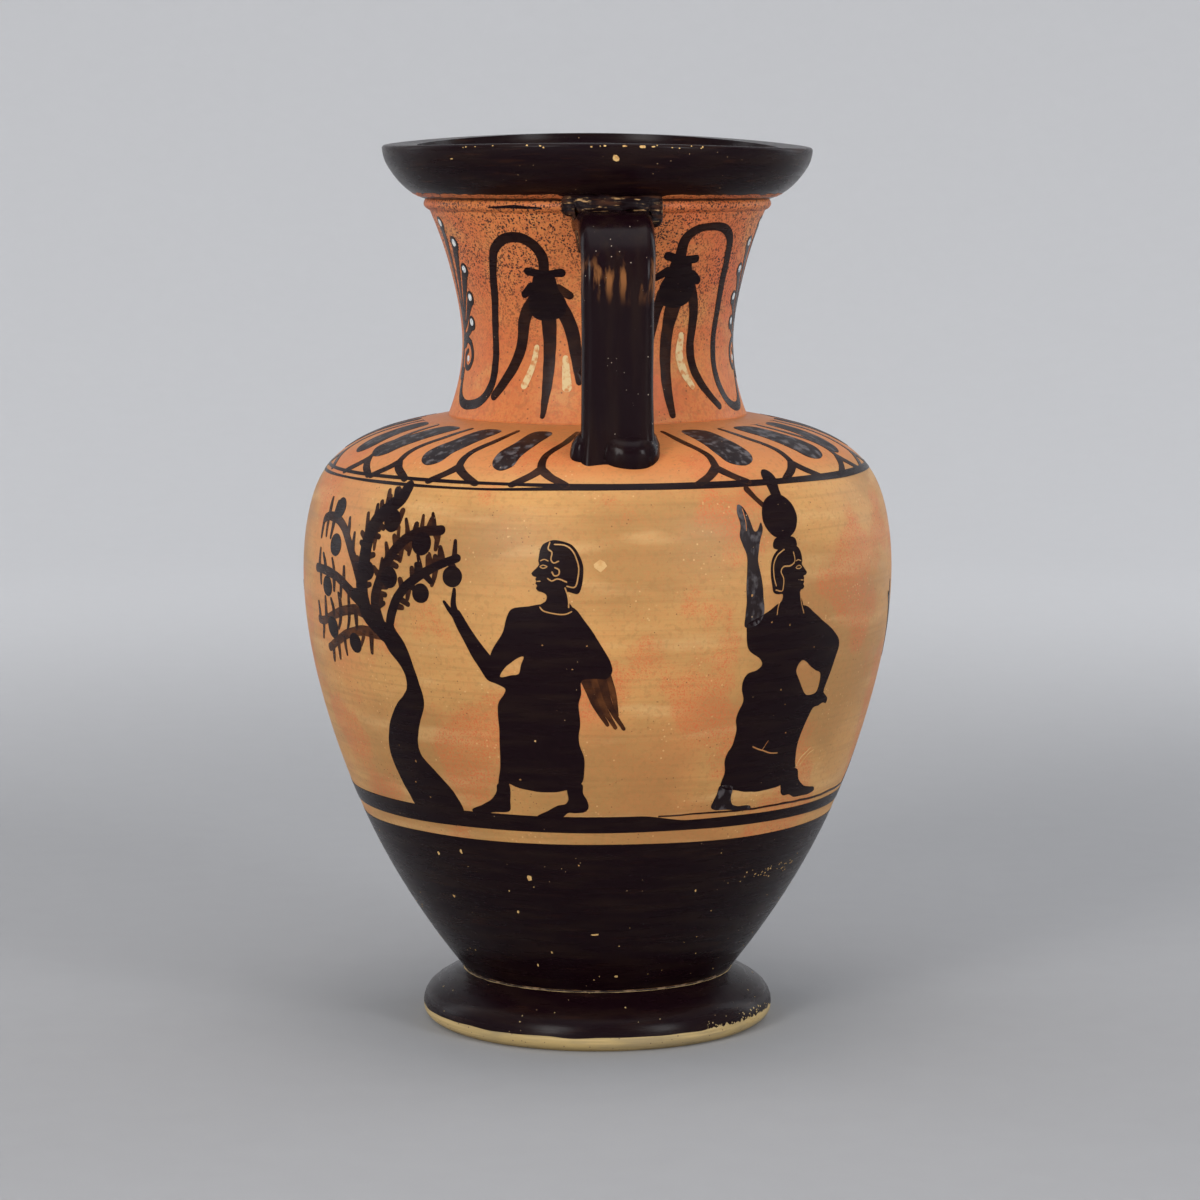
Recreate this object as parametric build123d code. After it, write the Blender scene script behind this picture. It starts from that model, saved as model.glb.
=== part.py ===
from build123d import *
import os

# A neck-amphora, thrown in sections on a wheel and luted together with slip.
# Frame: millimetres, +Z up, the origin on the wheel axis in the plane that the foot rests on.
# The two strap handles stand in the YZ plane: the front one towards -Y, the back one towards +Y.

# ---- driving sizes -----------------------------------------------------------------------

# Foot
REST_RADIUS = 60.2            # outer edge of the ring that the vase stands on
REST_RING_WIDTH = 7.5         # width of that ring
FOOT_RADIUS = 64.4            # widest part of the foot
FOOT_BULGE_HEIGHT = 5.0       # height of that widest part
FOOT_HEIGHT = 19.0            # top of the foot, where the body is luted on
FOOT_PLATE = 6.5              # clay under the body's boss

# Body, with heights above its own base
BODY_HEIGHT = 203.7           # from the base to where the shoulder meets the neck
BELLY_HEIGHT = 148.4          # widest part of the belly
BASE_RADIUS = 49.6            # foot of the body wall
BELLY_RADIUS = 107.6
NECK_ROOT_RADIUS = 55.5       # inner edge of the shoulder
BODY_WALL = 5.0
FLOOR_THICKNESS = 7.0         # clay between the body's base and its inside floor
BOSS_RADIUS = 33.6            # the trimmed boss that centres the body in the foot
BOSS_DEPTH = 4.6
SOCKET_LIP = 5.0              # depth of the socket that takes the neck's tenon

# Neck, with heights above its own base
NECK_HEIGHT = 73.6            # from the base to the seat of the collar
WAIST_HEIGHT = 28.1           # narrowest part of the neck
WAIST_RADIUS = 49.3
NECK_TOP_RADIUS = 60.8        # neck just under the collar
NECK_WALL = 5.0
NECK_LEDGE = 1.2              # shoulder left showing round the neck's root
TENON_DEPTH = 5.0             # tenon that centres the neck in the body
TENON_WALL = 2.6
SPIGOT_HEIGHT = 8.5           # spigot above the collar seat that centres the mouth
SPIGOT_RADIUS = 57.5
SPIGOT_BORE = 52.0

# Collar, the ridge under the mouth
COLLAR_RADIUS = 63.0
COLLAR_HEIGHT = 4.2
COLLAR_LEDGE = 0.6            # how far the collar stands out beyond the root of the mouth

# Mouth
MOUTH_RADIUS = 78.0
MOUTH_HEIGHT = 20.3           # from the top of the collar to the flat of the lip
RIM_EDGE = 1.4                # rounding of the lip's outer edge
RIM_BAND = 12.6               # from the widest part of the mouth to the inside of the flat lip

# Strap handles
STRAP_WIDTH = 26.5
STRAP_THICKNESS = 8.5
STRAP_EDGE = 3.6              # rounding of the strap's edges
STRAP_DROP = 3.0              # centre line of the level run, below the seat of the collar
STRAP_INSET = 23.1            # centre line on the shoulder, in from the widest part of the belly
STRAP_LEAN = 3.5              # how far the strap leans in from its bend down to the shoulder
STRAP_BEND = 20.0             # radius of the bend on the centre line

# Clay wads pressed round the handle roots
WAD_OVERHANG = 4.3            # clay on each side of the strap
WAD_ROUNDING = 4.2
WAD_RISE = 1.1                # middle of the upper wad above the strap's centre line
UPPER_WAD_HEIGHT = 19.0
UPPER_WAD_DEPTH = 16.0
LOWER_WAD_LENGTH = 22.0
LOWER_WAD_THICKNESS = 11.0
LOWER_WAD_TILT = 30.0         # degrees, about the slope of the shoulder there

# Fits
SLIP = 0.6                    # thickness of a luting-slip seam
TENON_CLEARANCE = 0.3         # radial clearance of each spigot in its socket


# ---- heights and radii that follow from them -------------------------------------------------

BODY_BASE_Z = FOOT_HEIGHT + SLIP
BODY_FLOOR_Z = BODY_BASE_Z + FLOOR_THICKNESS
BOSS_BOTTOM_Z = BODY_BASE_Z - BOSS_DEPTH
BELLY_Z = BODY_BASE_Z + BELLY_HEIGHT
SHOULDER_Z = BODY_BASE_Z + BODY_HEIGHT
FOOT_SOCKET_Z = BOSS_BOTTOM_Z - SLIP
FOOT_SOCKET_RADIUS = BOSS_RADIUS + TENON_CLEARANCE
FOOT_HOLLOW_Z = FOOT_SOCKET_Z - FOOT_PLATE
REST_RING_INNER = REST_RADIUS - REST_RING_WIDTH

NECK_BASE_Z = SHOULDER_Z + SLIP
WAIST_Z = NECK_BASE_Z + WAIST_HEIGHT
COLLAR_SEAT_Z = NECK_BASE_Z + NECK_HEIGHT
NECK_TOP_Z = COLLAR_SEAT_Z + SPIGOT_HEIGHT
NECK_BASE_RADIUS = NECK_ROOT_RADIUS - NECK_LEDGE
BODY_MOUTH_RADIUS = NECK_ROOT_RADIUS - NECK_WALL
TENON_RADIUS = BODY_MOUTH_RADIUS - TENON_CLEARANCE
TENON_BORE = TENON_RADIUS - TENON_WALL

COLLAR_TOP_Z = COLLAR_SEAT_Z + COLLAR_HEIGHT
MOUTH_SOCKET_Z = NECK_TOP_Z + SLIP
MOUTH_SOCKET_RADIUS = SPIGOT_RADIUS + TENON_CLEARANCE
MOUTH_ROOT_RADIUS = COLLAR_RADIUS - COLLAR_LEDGE
RIM_Z = COLLAR_TOP_Z + MOUTH_HEIGHT
RIM_INNER_RADIUS = MOUTH_RADIUS - RIM_BAND

STRAP_TOP_Z = COLLAR_SEAT_Z - STRAP_DROP
STRAP_FOOT_REACH = BELLY_RADIUS - STRAP_INSET
STRAP_REACH = STRAP_FOOT_REACH + STRAP_LEAN
WAD_WIDTH = STRAP_WIDTH + 2 * WAD_OVERHANG


# ---- outlines ----------------------------------------------------------------------------

def at(radius, height):
    """A point of a half outline: distance from the axis, and height."""
    return Vector(radius, 0, height)


def straight(*points):
    """Straight runs through points of a half outline."""
    return Polyline(*[at(radius, height) for radius, height in points])


def ease(start, end, shares):
    """Points between two ends, each a share of the way in radius and in height."""
    across = end[0] - start[0]
    up = end[1] - start[1]
    return [(start[0] + a * across, start[1] + b * up) for a, b in shares]


def curve(points, start_direction=None, end_direction=None):
    """A smooth curve through points, with set directions at its ends where given."""
    through = [at(radius, height) for radius, height in points]
    if start_direction is None or end_direction is None:
        return Spline(*through)
    return Spline(*through, tangents=[at(*start_direction), at(*end_direction)])


def inside(outline, wall, stations):
    """The curve a wall's thickness inside an outline that runs upwards."""
    points = []
    for station in stations:
        along = outline % station
        inward = Vector(-along.Z, 0, along.X)
        points.append(outline @ station + inward * wall)
    return Spline(*points)


def turned(*edges):
    """A solid of revolution about the wheel axis, from a closed half outline."""
    return revolve(make_face(list(edges)), Axis.Z)


def ring(inner, outer, bottom, top):
    """A flat washer of clay or slip."""
    return turned(straight((inner, bottom), (outer, bottom), (outer, top), (inner, top), (inner, bottom)))


def foot_edge():
    """The rounded edge of the foot, from the resting ring up to the widest part."""
    bottom = (REST_RADIUS, 0)
    widest = (FOOT_RADIUS, FOOT_BULGE_HEIGHT)
    return curve([bottom, widest], (1.0, 0.5), (0, 1))


def foot_slope():
    """The convex slope from the widest part of the foot up to the body."""
    widest = (FOOT_RADIUS, FOOT_BULGE_HEIGHT)
    top = (BASE_RADIUS, FOOT_HEIGHT)
    return curve([widest, *ease(widest, top, [(0.45, 0.69)]), top], (0, 1), (-1, 0.62))


def body_outline():
    """The outside of the body, from the foot up over the belly and in along the shoulder."""
    base = (BASE_RADIUS, BODY_BASE_Z)
    belly = (BELLY_RADIUS, BELLY_Z)
    neck_root = (NECK_ROOT_RADIUS, SHOULDER_Z)
    lower = ease(base, belly, [(0.367, 0.205), (0.598, 0.373), (0.90, 0.71)])
    shoulder = ease(belly, neck_root, [(0.041, 0.382), (0.147, 0.636), (0.327, 0.80), (0.617, 0.923)])
    return curve([base, *lower, belly, *shoulder, neck_root])


def neck_outline():
    """The outside of the neck, drawn in at the waist and flaring towards the mouth."""
    root = (NECK_BASE_RADIUS, NECK_BASE_Z)
    waist = (WAIST_RADIUS, WAIST_Z)
    top = (NECK_TOP_RADIUS, COLLAR_SEAT_Z)
    flare = ease(waist, top, [(0.33, 0.505)])
    return curve([root, waist, *flare, top], (-0.38, 1), (0.43, 1))


def collar_outline():
    """The rounded outside of the collar."""
    seat_edge = (NECK_TOP_RADIUS, COLLAR_SEAT_Z)
    crest = (COLLAR_RADIUS, COLLAR_SEAT_Z + COLLAR_HEIGHT * 0.55)
    return curve([seat_edge, crest, (MOUTH_ROOT_RADIUS, COLLAR_TOP_Z)])


def mouth_outline():
    """The convex outside of the mouth, from the collar up to the lip."""
    under = (MOUTH_ROOT_RADIUS, COLLAR_TOP_Z)
    lip = (MOUTH_RADIUS, RIM_Z - RIM_EDGE)
    return curve([under, *ease(under, lip, [(0.37, 0.155), (0.83, 0.60)]), lip], (1, 0.35), (0.12, 1))


# ---- thrown sections -----------------------------------------------------------------------

def make_foot():
    """The foot: a spreading disc, hollowed underneath, with a socket for the body's boss."""
    hollow = curve([(0, FOOT_HOLLOW_Z), (REST_RING_INNER * 0.72, FOOT_HOLLOW_Z * 0.86), (REST_RING_INNER, 0)])
    resting = straight((REST_RING_INNER, 0), (REST_RADIUS, 0))
    top = straight(
        (BASE_RADIUS, FOOT_HEIGHT),
        (FOOT_SOCKET_RADIUS, FOOT_HEIGHT),
        (FOOT_SOCKET_RADIUS, FOOT_SOCKET_Z),
        (0, FOOT_SOCKET_Z),
        (0, FOOT_HOLLOW_Z),
    )
    return turned(hollow, resting, foot_edge(), foot_slope(), top)


def make_body():
    """The body: an open ovoid with a boss under its floor and a socket for the neck on top."""
    outside = body_outline()
    wall = inside(outside, BODY_WALL, [0.12, 0.24, 0.36, 0.48, 0.58, 0.66, 0.73, 0.79, 0.86, 0.93])
    lowest = wall @ 0
    highest = wall @ 1
    floor_edge = (lowest.X * 0.55, BODY_FLOOR_Z)
    base = straight(
        (0, BOSS_BOTTOM_Z),
        (BOSS_RADIUS, BOSS_BOTTOM_Z),
        (BOSS_RADIUS, BODY_BASE_Z),
        (BASE_RADIUS, BODY_BASE_Z),
    )
    top = straight(
        (NECK_ROOT_RADIUS, SHOULDER_Z),
        (BODY_MOUTH_RADIUS, SHOULDER_Z),
        (BODY_MOUTH_RADIUS, SHOULDER_Z - SOCKET_LIP),
        (highest.X, highest.Z),
    )
    cove = Spline(at(*floor_edge), lowest, tangents=[at(1, 0), wall % 0])
    floor = straight((0, BOSS_BOTTOM_Z), (0, BODY_FLOOR_Z), floor_edge)
    return turned(base, outside, top, wall, cove, floor)


def make_neck():
    """The neck: a waisted tube, with a tenon below for the body and a spigot above for the mouth."""
    outside = neck_outline()
    tenon_bottom = NECK_BASE_Z - TENON_DEPTH
    bottom = straight(
        (NECK_BASE_RADIUS, NECK_BASE_Z),
        (TENON_RADIUS, NECK_BASE_Z),
        (TENON_RADIUS, tenon_bottom),
        (TENON_BORE, tenon_bottom),
    )
    bore = curve(
        [(TENON_BORE, tenon_bottom), (WAIST_RADIUS - NECK_WALL, WAIST_Z), (SPIGOT_BORE, NECK_TOP_Z)],
        (-0.15, 1),
        (0.18, 1),
    )
    top = straight(
        (NECK_TOP_RADIUS, COLLAR_SEAT_Z),
        (SPIGOT_RADIUS, COLLAR_SEAT_Z),
        (SPIGOT_RADIUS, NECK_TOP_Z),
        (SPIGOT_BORE, NECK_TOP_Z),
    )
    return turned(outside, bottom, bore, top)


def make_collar():
    """The collar: a rounded ridge laid on the neck's shoulder, under the mouth."""
    back = straight(
        (MOUTH_ROOT_RADIUS, COLLAR_TOP_Z),
        (SPIGOT_RADIUS, COLLAR_TOP_Z),
        (SPIGOT_RADIUS, COLLAR_SEAT_Z),
        (NECK_TOP_RADIUS, COLLAR_SEAT_Z),
    )
    return turned(collar_outline(), back)


def make_mouth():
    """The mouth: a thick convex ring with a flat lip, socketed over the neck's spigot."""
    outside = mouth_outline()
    lip = (MOUTH_RADIUS - RIM_EDGE, RIM_Z)
    rim_edge = Spline(outside @ 1, at(*lip), tangents=[outside % 1, at(-1, 0)])
    inner_edge = (RIM_INNER_RADIUS, RIM_Z)
    band = straight(lip, inner_edge)
    throat = (SPIGOT_BORE, MOUTH_SOCKET_Z)
    bowl = curve([inner_edge, *ease(inner_edge, throat, [(0.42, 0.62)]), throat], (-0.1, -1), (-1, -0.7))
    socket = straight(
        throat,
        (MOUTH_SOCKET_RADIUS, MOUTH_SOCKET_Z),
        (MOUTH_SOCKET_RADIUS, COLLAR_TOP_Z),
        (MOUTH_ROOT_RADIUS, COLLAR_TOP_Z),
    )
    return turned(outside, rim_edge, band, bowl, socket)


# ---- luting-slip seams ---------------------------------------------------------------------

def make_foot_slip():
    """Slip between the foot's top and the body's base."""
    return ring(FOOT_SOCKET_RADIUS, BASE_RADIUS, FOOT_HEIGHT, BODY_BASE_Z)


def make_neck_slip():
    """Slip between the shoulder and the neck."""
    return ring(BODY_MOUTH_RADIUS, NECK_BASE_RADIUS, SHOULDER_Z, NECK_BASE_Z)


def make_mouth_slip():
    """Slip between the top of the neck and the mouth."""
    return ring(SPIGOT_BORE, SPIGOT_RADIUS, NECK_TOP_Z, MOUTH_SOCKET_Z)


# ---- handles and their wads ----------------------------------------------------------------

def make_core():
    """The filled outside of the thrown sections, which the handles and wads are fitted against."""
    bottom = straight((0, BODY_BASE_Z), (BASE_RADIUS, BODY_BASE_Z))
    ledge = straight(
        (NECK_ROOT_RADIUS, SHOULDER_Z),
        (NECK_BASE_RADIUS, SHOULDER_Z),
        (NECK_BASE_RADIUS, NECK_BASE_Z),
    )
    top = straight((MOUTH_RADIUS, RIM_Z - RIM_EDGE), (0, RIM_Z - RIM_EDGE), (0, BODY_BASE_Z))
    return turned(bottom, body_outline(), ledge, neck_outline(), collar_outline(), mouth_outline(), top)


def make_strap():
    """The bare front strap: a rounded band, level out of the neck and then down to the shoulder."""
    path = FilletPolyline(
        (0, -WAIST_RADIUS, STRAP_TOP_Z),
        (0, -STRAP_REACH, STRAP_TOP_Z),
        (0, -STRAP_FOOT_REACH, shoulder_height(STRAP_FOOT_REACH) - BODY_WALL),
        radius=STRAP_BEND,
    )
    section_plane = Plane(origin=path @ 0, x_dir=(1, 0, 0), z_dir=path % 0)
    section = section_plane * RectangleRounded(STRAP_WIDTH, STRAP_THICKNESS, STRAP_EDGE)
    return sweep(section, path=path)


def make_upper_wad():
    """Clay pressed round the strap where it leaves the neck, up against the mouth."""
    block = fillet(Box(WAD_WIDTH, UPPER_WAD_DEPTH, UPPER_WAD_HEIGHT).edges(), WAD_ROUNDING)
    return Pos(0, -NECK_TOP_RADIUS, STRAP_TOP_Z + WAD_RISE) * block


def shoulder_height(reach):
    """Height of the shoulder's surface at a distance from the axis."""
    plumb = Line(at(reach, BELLY_Z), at(reach, RIM_Z))
    return body_outline().intersect(plumb)[0].Z


def make_lower_wad():
    """Clay pressed round the strap where it lands on the shoulder."""
    block = fillet(Box(WAD_WIDTH, LOWER_WAD_LENGTH, LOWER_WAD_THICKNESS).edges(), WAD_ROUNDING)
    place = Pos(0, -STRAP_FOOT_REACH, shoulder_height(STRAP_FOOT_REACH)) * Rot(LOWER_WAD_TILT, 0, 0)
    return place * block


def make_pieces():
    """Every separate piece of the vase, by name."""
    core = make_core()
    strap = make_strap() - core
    front = {
        "handle": strap,
        "upper_wad": make_upper_wad() - core - strap,
        "lower_wad": make_lower_wad() - core - strap,
    }
    pieces = {
        "foot": make_foot(),
        "foot_slip": make_foot_slip(),
        "body": make_body(),
        "neck_slip": make_neck_slip(),
        "neck": make_neck(),
        "collar": make_collar(),
        "mouth_slip": make_mouth_slip(),
        "mouth": make_mouth(),
    }
    for side, turn in (("front", 0), ("back", 180)):
        for name, shape in front.items():
            pieces[f"{side}_{name}"] = Rot(0, 0, turn) * shape
    return pieces


def main():
    os.makedirs("parts", exist_ok=True)
    for name, shape in make_pieces().items():
        shape.label = name
        export_step(shape, f"parts/{name}.step")


main()
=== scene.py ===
import math
import random

import bmesh
import bpy
import numpy as np
from mathutils import Matrix, Vector, noise
from mathutils.geometry import delaunay_2d_cdt


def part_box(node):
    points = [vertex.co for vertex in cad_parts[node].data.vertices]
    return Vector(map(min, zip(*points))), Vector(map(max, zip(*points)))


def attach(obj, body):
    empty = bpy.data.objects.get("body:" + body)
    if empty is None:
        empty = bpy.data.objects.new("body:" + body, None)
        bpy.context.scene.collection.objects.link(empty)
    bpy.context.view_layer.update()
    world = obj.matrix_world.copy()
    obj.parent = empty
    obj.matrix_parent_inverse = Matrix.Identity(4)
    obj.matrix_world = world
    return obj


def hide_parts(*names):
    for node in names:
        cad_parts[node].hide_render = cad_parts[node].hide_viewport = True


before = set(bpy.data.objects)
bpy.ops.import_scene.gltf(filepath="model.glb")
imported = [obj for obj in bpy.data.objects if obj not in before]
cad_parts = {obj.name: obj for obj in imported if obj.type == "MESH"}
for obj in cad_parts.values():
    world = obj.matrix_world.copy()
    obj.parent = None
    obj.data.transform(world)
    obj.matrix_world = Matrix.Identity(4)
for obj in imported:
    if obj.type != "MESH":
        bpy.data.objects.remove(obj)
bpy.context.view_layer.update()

# A small black-figure amphora. Lengths are in millimetres until a point is handed to Blender, which takes
# metres. Angles run round the vase from the front handle, which stands at -Y, and grow towards +X.
# A painted wall is unrolled flat: across is the angle times the unrolling radius, up is the height.

MM = 0.001
TURN = 2 * math.pi
random.seed(11)

# Fineness of the meshes
SEGMENTS = 288            # round a turned piece
OUTLINE_STEP = 1.6        # along a turned piece's outline
PAINT_GRID = 2.0          # inside a painted mark, so that it follows the curved wall
EDGE_STEP = 0.7           # along a painted mark's edge
WELD = 1e-7               # metres
CORNER_TURN = math.radians(24)   # an outline that turns by more has a corner there

# The slip lies on the wall as a thin skin
SLIP_LIFT = 0.12
SLIP_ROOT = -0.06
OVERPAINT_LIFT = 0.2      # white and cream paint laid over the black
EDGE_WOBBLE = 0.22        # unsteadiness of the painter's hand
WOBBLE_LENGTH = 5.0

# Radii at which the walls were unrolled to lay out the painting
BODY_UNROLL = 104.0
NECK_UNROLL = 52.0
SHOULDER_UNROLL = 85.0
LIP_UNROLL = 78.0

# Sizes taken from the frame
LIP_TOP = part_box("mouth")[1].z / MM
LIP_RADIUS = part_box("mouth")[1].x / MM
COLLAR_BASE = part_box("collar")[0].z / MM
BODY_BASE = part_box("foot_slip")[1].z / MM
FOOT_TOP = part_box("foot")[1].z / MM

# The photographer's place, measured round the axis
VIEW_ANGLE = math.radians(-4.7)
VIEW_DISTANCE = 1400.0
VIEW_HEIGHT = 325.4
VIEW_PITCH = math.radians(6.945)
LENS = 115.16
SENSOR = 36.0
VIEW_SHIFT = 2.5 / 1200


# ---------------------------------------------------------------- the potter's hand

RIM_SAG = (-1.7, -0.5, 1.45)     # cosine, sine and double-cosine parts of the uneven rim
WALL_UNEVEN = 0.22
WALL_UNEVEN_LENGTH = 55.0


def by_hand(x, y, z):
    """A point in mm, moved as an unsteady wheel and a warped rim leave it, as a vector in metres."""
    angle = math.atan2(x, -y) - VIEW_ANGLE
    rise = min(max((z - COLLAR_BASE) / (LIP_TOP - COLLAR_BASE), 0.0), 1.0)
    rise = rise * rise * (3 - 2 * rise)
    sag = RIM_SAG[0] * math.cos(angle) + RIM_SAG[1] * math.sin(angle) + RIM_SAG[2] * math.cos(2 * angle)
    spot = Vector((x, y, z)) / WALL_UNEVEN_LENGTH
    swell = 1 + WALL_UNEVEN * noise.noise(spot) / LIP_RADIUS
    return Vector((x * swell, y * swell, z + sag * rise)) * MM


# ---------------------------------------------------------------- lines

def flowing(points, step, closed=False):
    """A smooth line through the points (centripetal Catmull-Rom), divided into steps."""
    points = [np.array(p, float) for p in points]
    count = len(points)
    spans = count if closed else count - 1
    line = []
    for index in range(spans):
        b = points[index]
        c = points[(index + 1) % count]
        a = points[index - 1] if closed or index else 2 * b - c
        d = points[(index + 2) % count] if closed or index < spans - 1 else 2 * c - b
        knots = [0.0]
        for near, far in ((a, b), (b, c), (c, d)):
            knots.append(knots[-1] + max(np.linalg.norm(far - near), 1e-6) ** 0.5)
        t0, t1, t2, t3 = knots
        pieces = max(1, math.ceil(np.linalg.norm(c - b) / step))
        for part in range(pieces):
            t = t1 + (t2 - t1) * part / pieces
            ab = ((t1 - t) * a + (t - t0) * b) / (t1 - t0)
            bc = ((t2 - t) * b + (t - t1) * c) / (t2 - t1)
            cd = ((t3 - t) * c + (t - t2) * d) / (t3 - t2)
            abc = ((t2 - t) * ab + (t - t0) * bc) / (t2 - t0)
            bcd = ((t3 - t) * bc + (t - t1) * cd) / (t3 - t1)
            line.append(((t2 - t) * abc + (t - t1) * bcd) / (t2 - t1))
    if not closed:
        line.append(points[-1])
    return np.array(line)


# ---------------------------------------------------------------- outlines of the turned pieces

def cut_outline(node):
    """The section of a turned CAD piece on its +X side, as ordered (radius, height) points."""
    mesh = bmesh.new()
    mesh.from_mesh(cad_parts[node].data)
    bmesh.ops.remove_doubles(mesh, verts=mesh.verts, dist=WELD)
    everything = mesh.verts[:] + mesh.edges[:] + mesh.faces[:]
    cut = bmesh.ops.bisect_plane(mesh, geom=everything, plane_co=(0, 0, 0), plane_no=(0, 1, 0), dist=WELD)
    beside = {}
    for part in cut["geom_cut"]:
        if isinstance(part, bmesh.types.BMEdge) and all(v.co.x > WELD for v in part.verts):
            first, second = part.verts
            beside.setdefault(first, []).append(second)
            beside.setdefault(second, []).append(first)
    ends = [v for v in beside if len(beside[v]) == 1]
    here = ends[0] if ends else next(iter(beside))
    chain = [here]
    seen = {here}
    while True:
        ahead = [v for v in beside[here] if v not in seen]
        if not ahead:
            break
        here = ahead[0]
        seen.add(here)
        chain.append(here)
    points = [(v.co.x / MM, v.co.z / MM) for v in chain]
    mesh.free()
    if ends:
        points = [(0.0, points[0][1])] + points + [(0.0, points[-1][1])]
    return points, not ends


def turn_at(before, here, after):
    """How far a line turns at a point."""
    first = Vector((here[0] - before[0], here[1] - before[1]))
    second = Vector((after[0] - here[0], after[1] - here[1]))
    return first.angle(second, 0.0)


def smooth_stretches(points, closed):
    """The outline as smooth stretches, each from one corner to the next."""
    count = len(points)
    corners = [
        i for i in range(count)
        if closed or 0 < i < count - 1
        if turn_at(points[i - 1], points[i], points[(i + 1) % count]) > CORNER_TURN
    ]
    if not closed:
        corners = [0] + corners + [count - 1]
    stretches = []
    pairs = zip(corners, corners[1:] + ([corners[0] + count] if closed else []))
    for first, last in pairs:
        stretches.append([points[i % count] for i in range(first, last + 1)])
    return stretches


class Wall:
    """The outer wall of a turned piece, from its foot to its top."""

    def __init__(self, node):
        stretches = smooth_stretches(*cut_outline(node))
        widest = max(stretches, key=lambda s: (round(max(p[0] for p in s), 2), len(s)))
        line = flowing(widest, OUTLINE_STEP / 2)
        if line[0][1] > line[-1][1]:
            line = line[::-1]
        rising = [line[0]]
        for point in line[1:]:
            if point[1] > rising[-1][1] + 1e-4:
                rising.append(point)
        self.line = np.array(rising)
        lengths = np.linalg.norm(np.diff(self.line, axis=0), axis=1)
        self.along = np.concatenate([[0.0], np.cumsum(lengths)])
        self.slope = np.gradient(self.line, self.along, axis=0)

    def spot(self, angle, distance, lift):
        """The point at a distance along the wall from its foot, lifted off it."""
        radius = np.interp(distance, self.along, self.line[:, 0])
        height = np.interp(distance, self.along, self.line[:, 1])
        lean = np.interp(distance, self.along, self.slope[:, 0])
        climb = np.interp(distance, self.along, self.slope[:, 1])
        size = math.hypot(lean, climb)
        radius += lift * climb / size
        height -= lift * lean / size
        return by_hand(radius * math.sin(angle), -radius * math.cos(angle), height)

    def by_height(self, unroll):
        """Unrolled places on this wall: across at the unrolling radius, and the height."""
        def place(across, up, lift):
            distance = np.interp(up, self.line[:, 1], self.along)
            return self.spot(across / unroll, distance, lift)
        return place

    def from_top(self, unroll):
        """Unrolled places on this wall: across at the unrolling radius, and the way down from its top."""
        def place(across, down, lift):
            return self.spot(across / unroll, self.along[-1] - down, lift)
        return place


# ---------------------------------------------------------------- meshes

def new_piece(name, mesh, node_names, material):
    """A Blender object for the mesh, standing for CAD nodes, or lying on them if it has none."""
    piece = bpy.data.objects.new(name, mesh)
    bpy.context.scene.collection.objects.link(piece)
    mesh.materials.append(material)
    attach(piece, "root")
    if node_names:
        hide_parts(*node_names)
    return piece


def turned_piece(name, node, material):
    """The CAD piece turned again, finer, and with the unevenness of the hand."""
    points, closed = cut_outline(node)
    line = []
    corner_rings = set()
    for stretch in smooth_stretches(points, closed):
        corner_rings.add(len(line))
        line.extend(flowing(stretch, OUTLINE_STEP)[:-1])
    if not closed:
        line.append(np.array(points[-1]))
    mesh = bmesh.new()
    rings = []
    for radius, height in line:
        if radius < WELD / MM:
            rings.append([mesh.verts.new(by_hand(0, 0, height))] * SEGMENTS)
            continue
        ring = []
        for segment in range(SEGMENTS):
            angle = TURN * segment / SEGMENTS
            spot = by_hand(radius * math.sin(angle), -radius * math.cos(angle), height)
            ring.append(mesh.verts.new(spot))
        rings.append(ring)
    unwrap = mesh.loops.layers.uv.new("OFBake")
    lengths = np.linalg.norm(np.diff(np.array(line + [line[0]]), axis=0), axis=1)
    along = np.concatenate([[0.0], np.cumsum(lengths)]) / lengths.sum()
    count = len(line)
    for index in range(count if closed else count - 1):
        lower = rings[index]
        upper = rings[(index + 1) % count]
        for segment in range(SEGMENTS):
            after = (segment + 1) % SEGMENTS
            corners = [
                (lower[segment], segment, index), (lower[after], segment + 1, index),
                (upper[after], segment + 1, index + 1), (upper[segment], segment, index + 1),
            ]
            kept = [c for k, c in enumerate(corners) if c[0] is not corners[k - 1][0]]
            face = mesh.faces.new([c[0] for c in kept])
            face.smooth = True
            for loop, corner in zip(face.loops, kept):
                loop[unwrap].uv = (corner[1] / SEGMENTS, along[corner[2]])
    for index in corner_rings:
        ring = rings[index]
        if ring[0] is ring[1]:
            continue
        for segment in range(SEGMENTS):
            edge = mesh.edges.get((ring[segment], ring[(segment + 1) % SEGMENTS]))
            if edge:
                edge.smooth = False
    bmesh.ops.recalc_face_normals(mesh, faces=mesh.faces)
    result = bpy.data.meshes.new(name)
    mesh.to_mesh(result)
    mesh.free()
    return new_piece(name, result, [node], material)


# ---------------------------------------------------------------- painted marks

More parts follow.
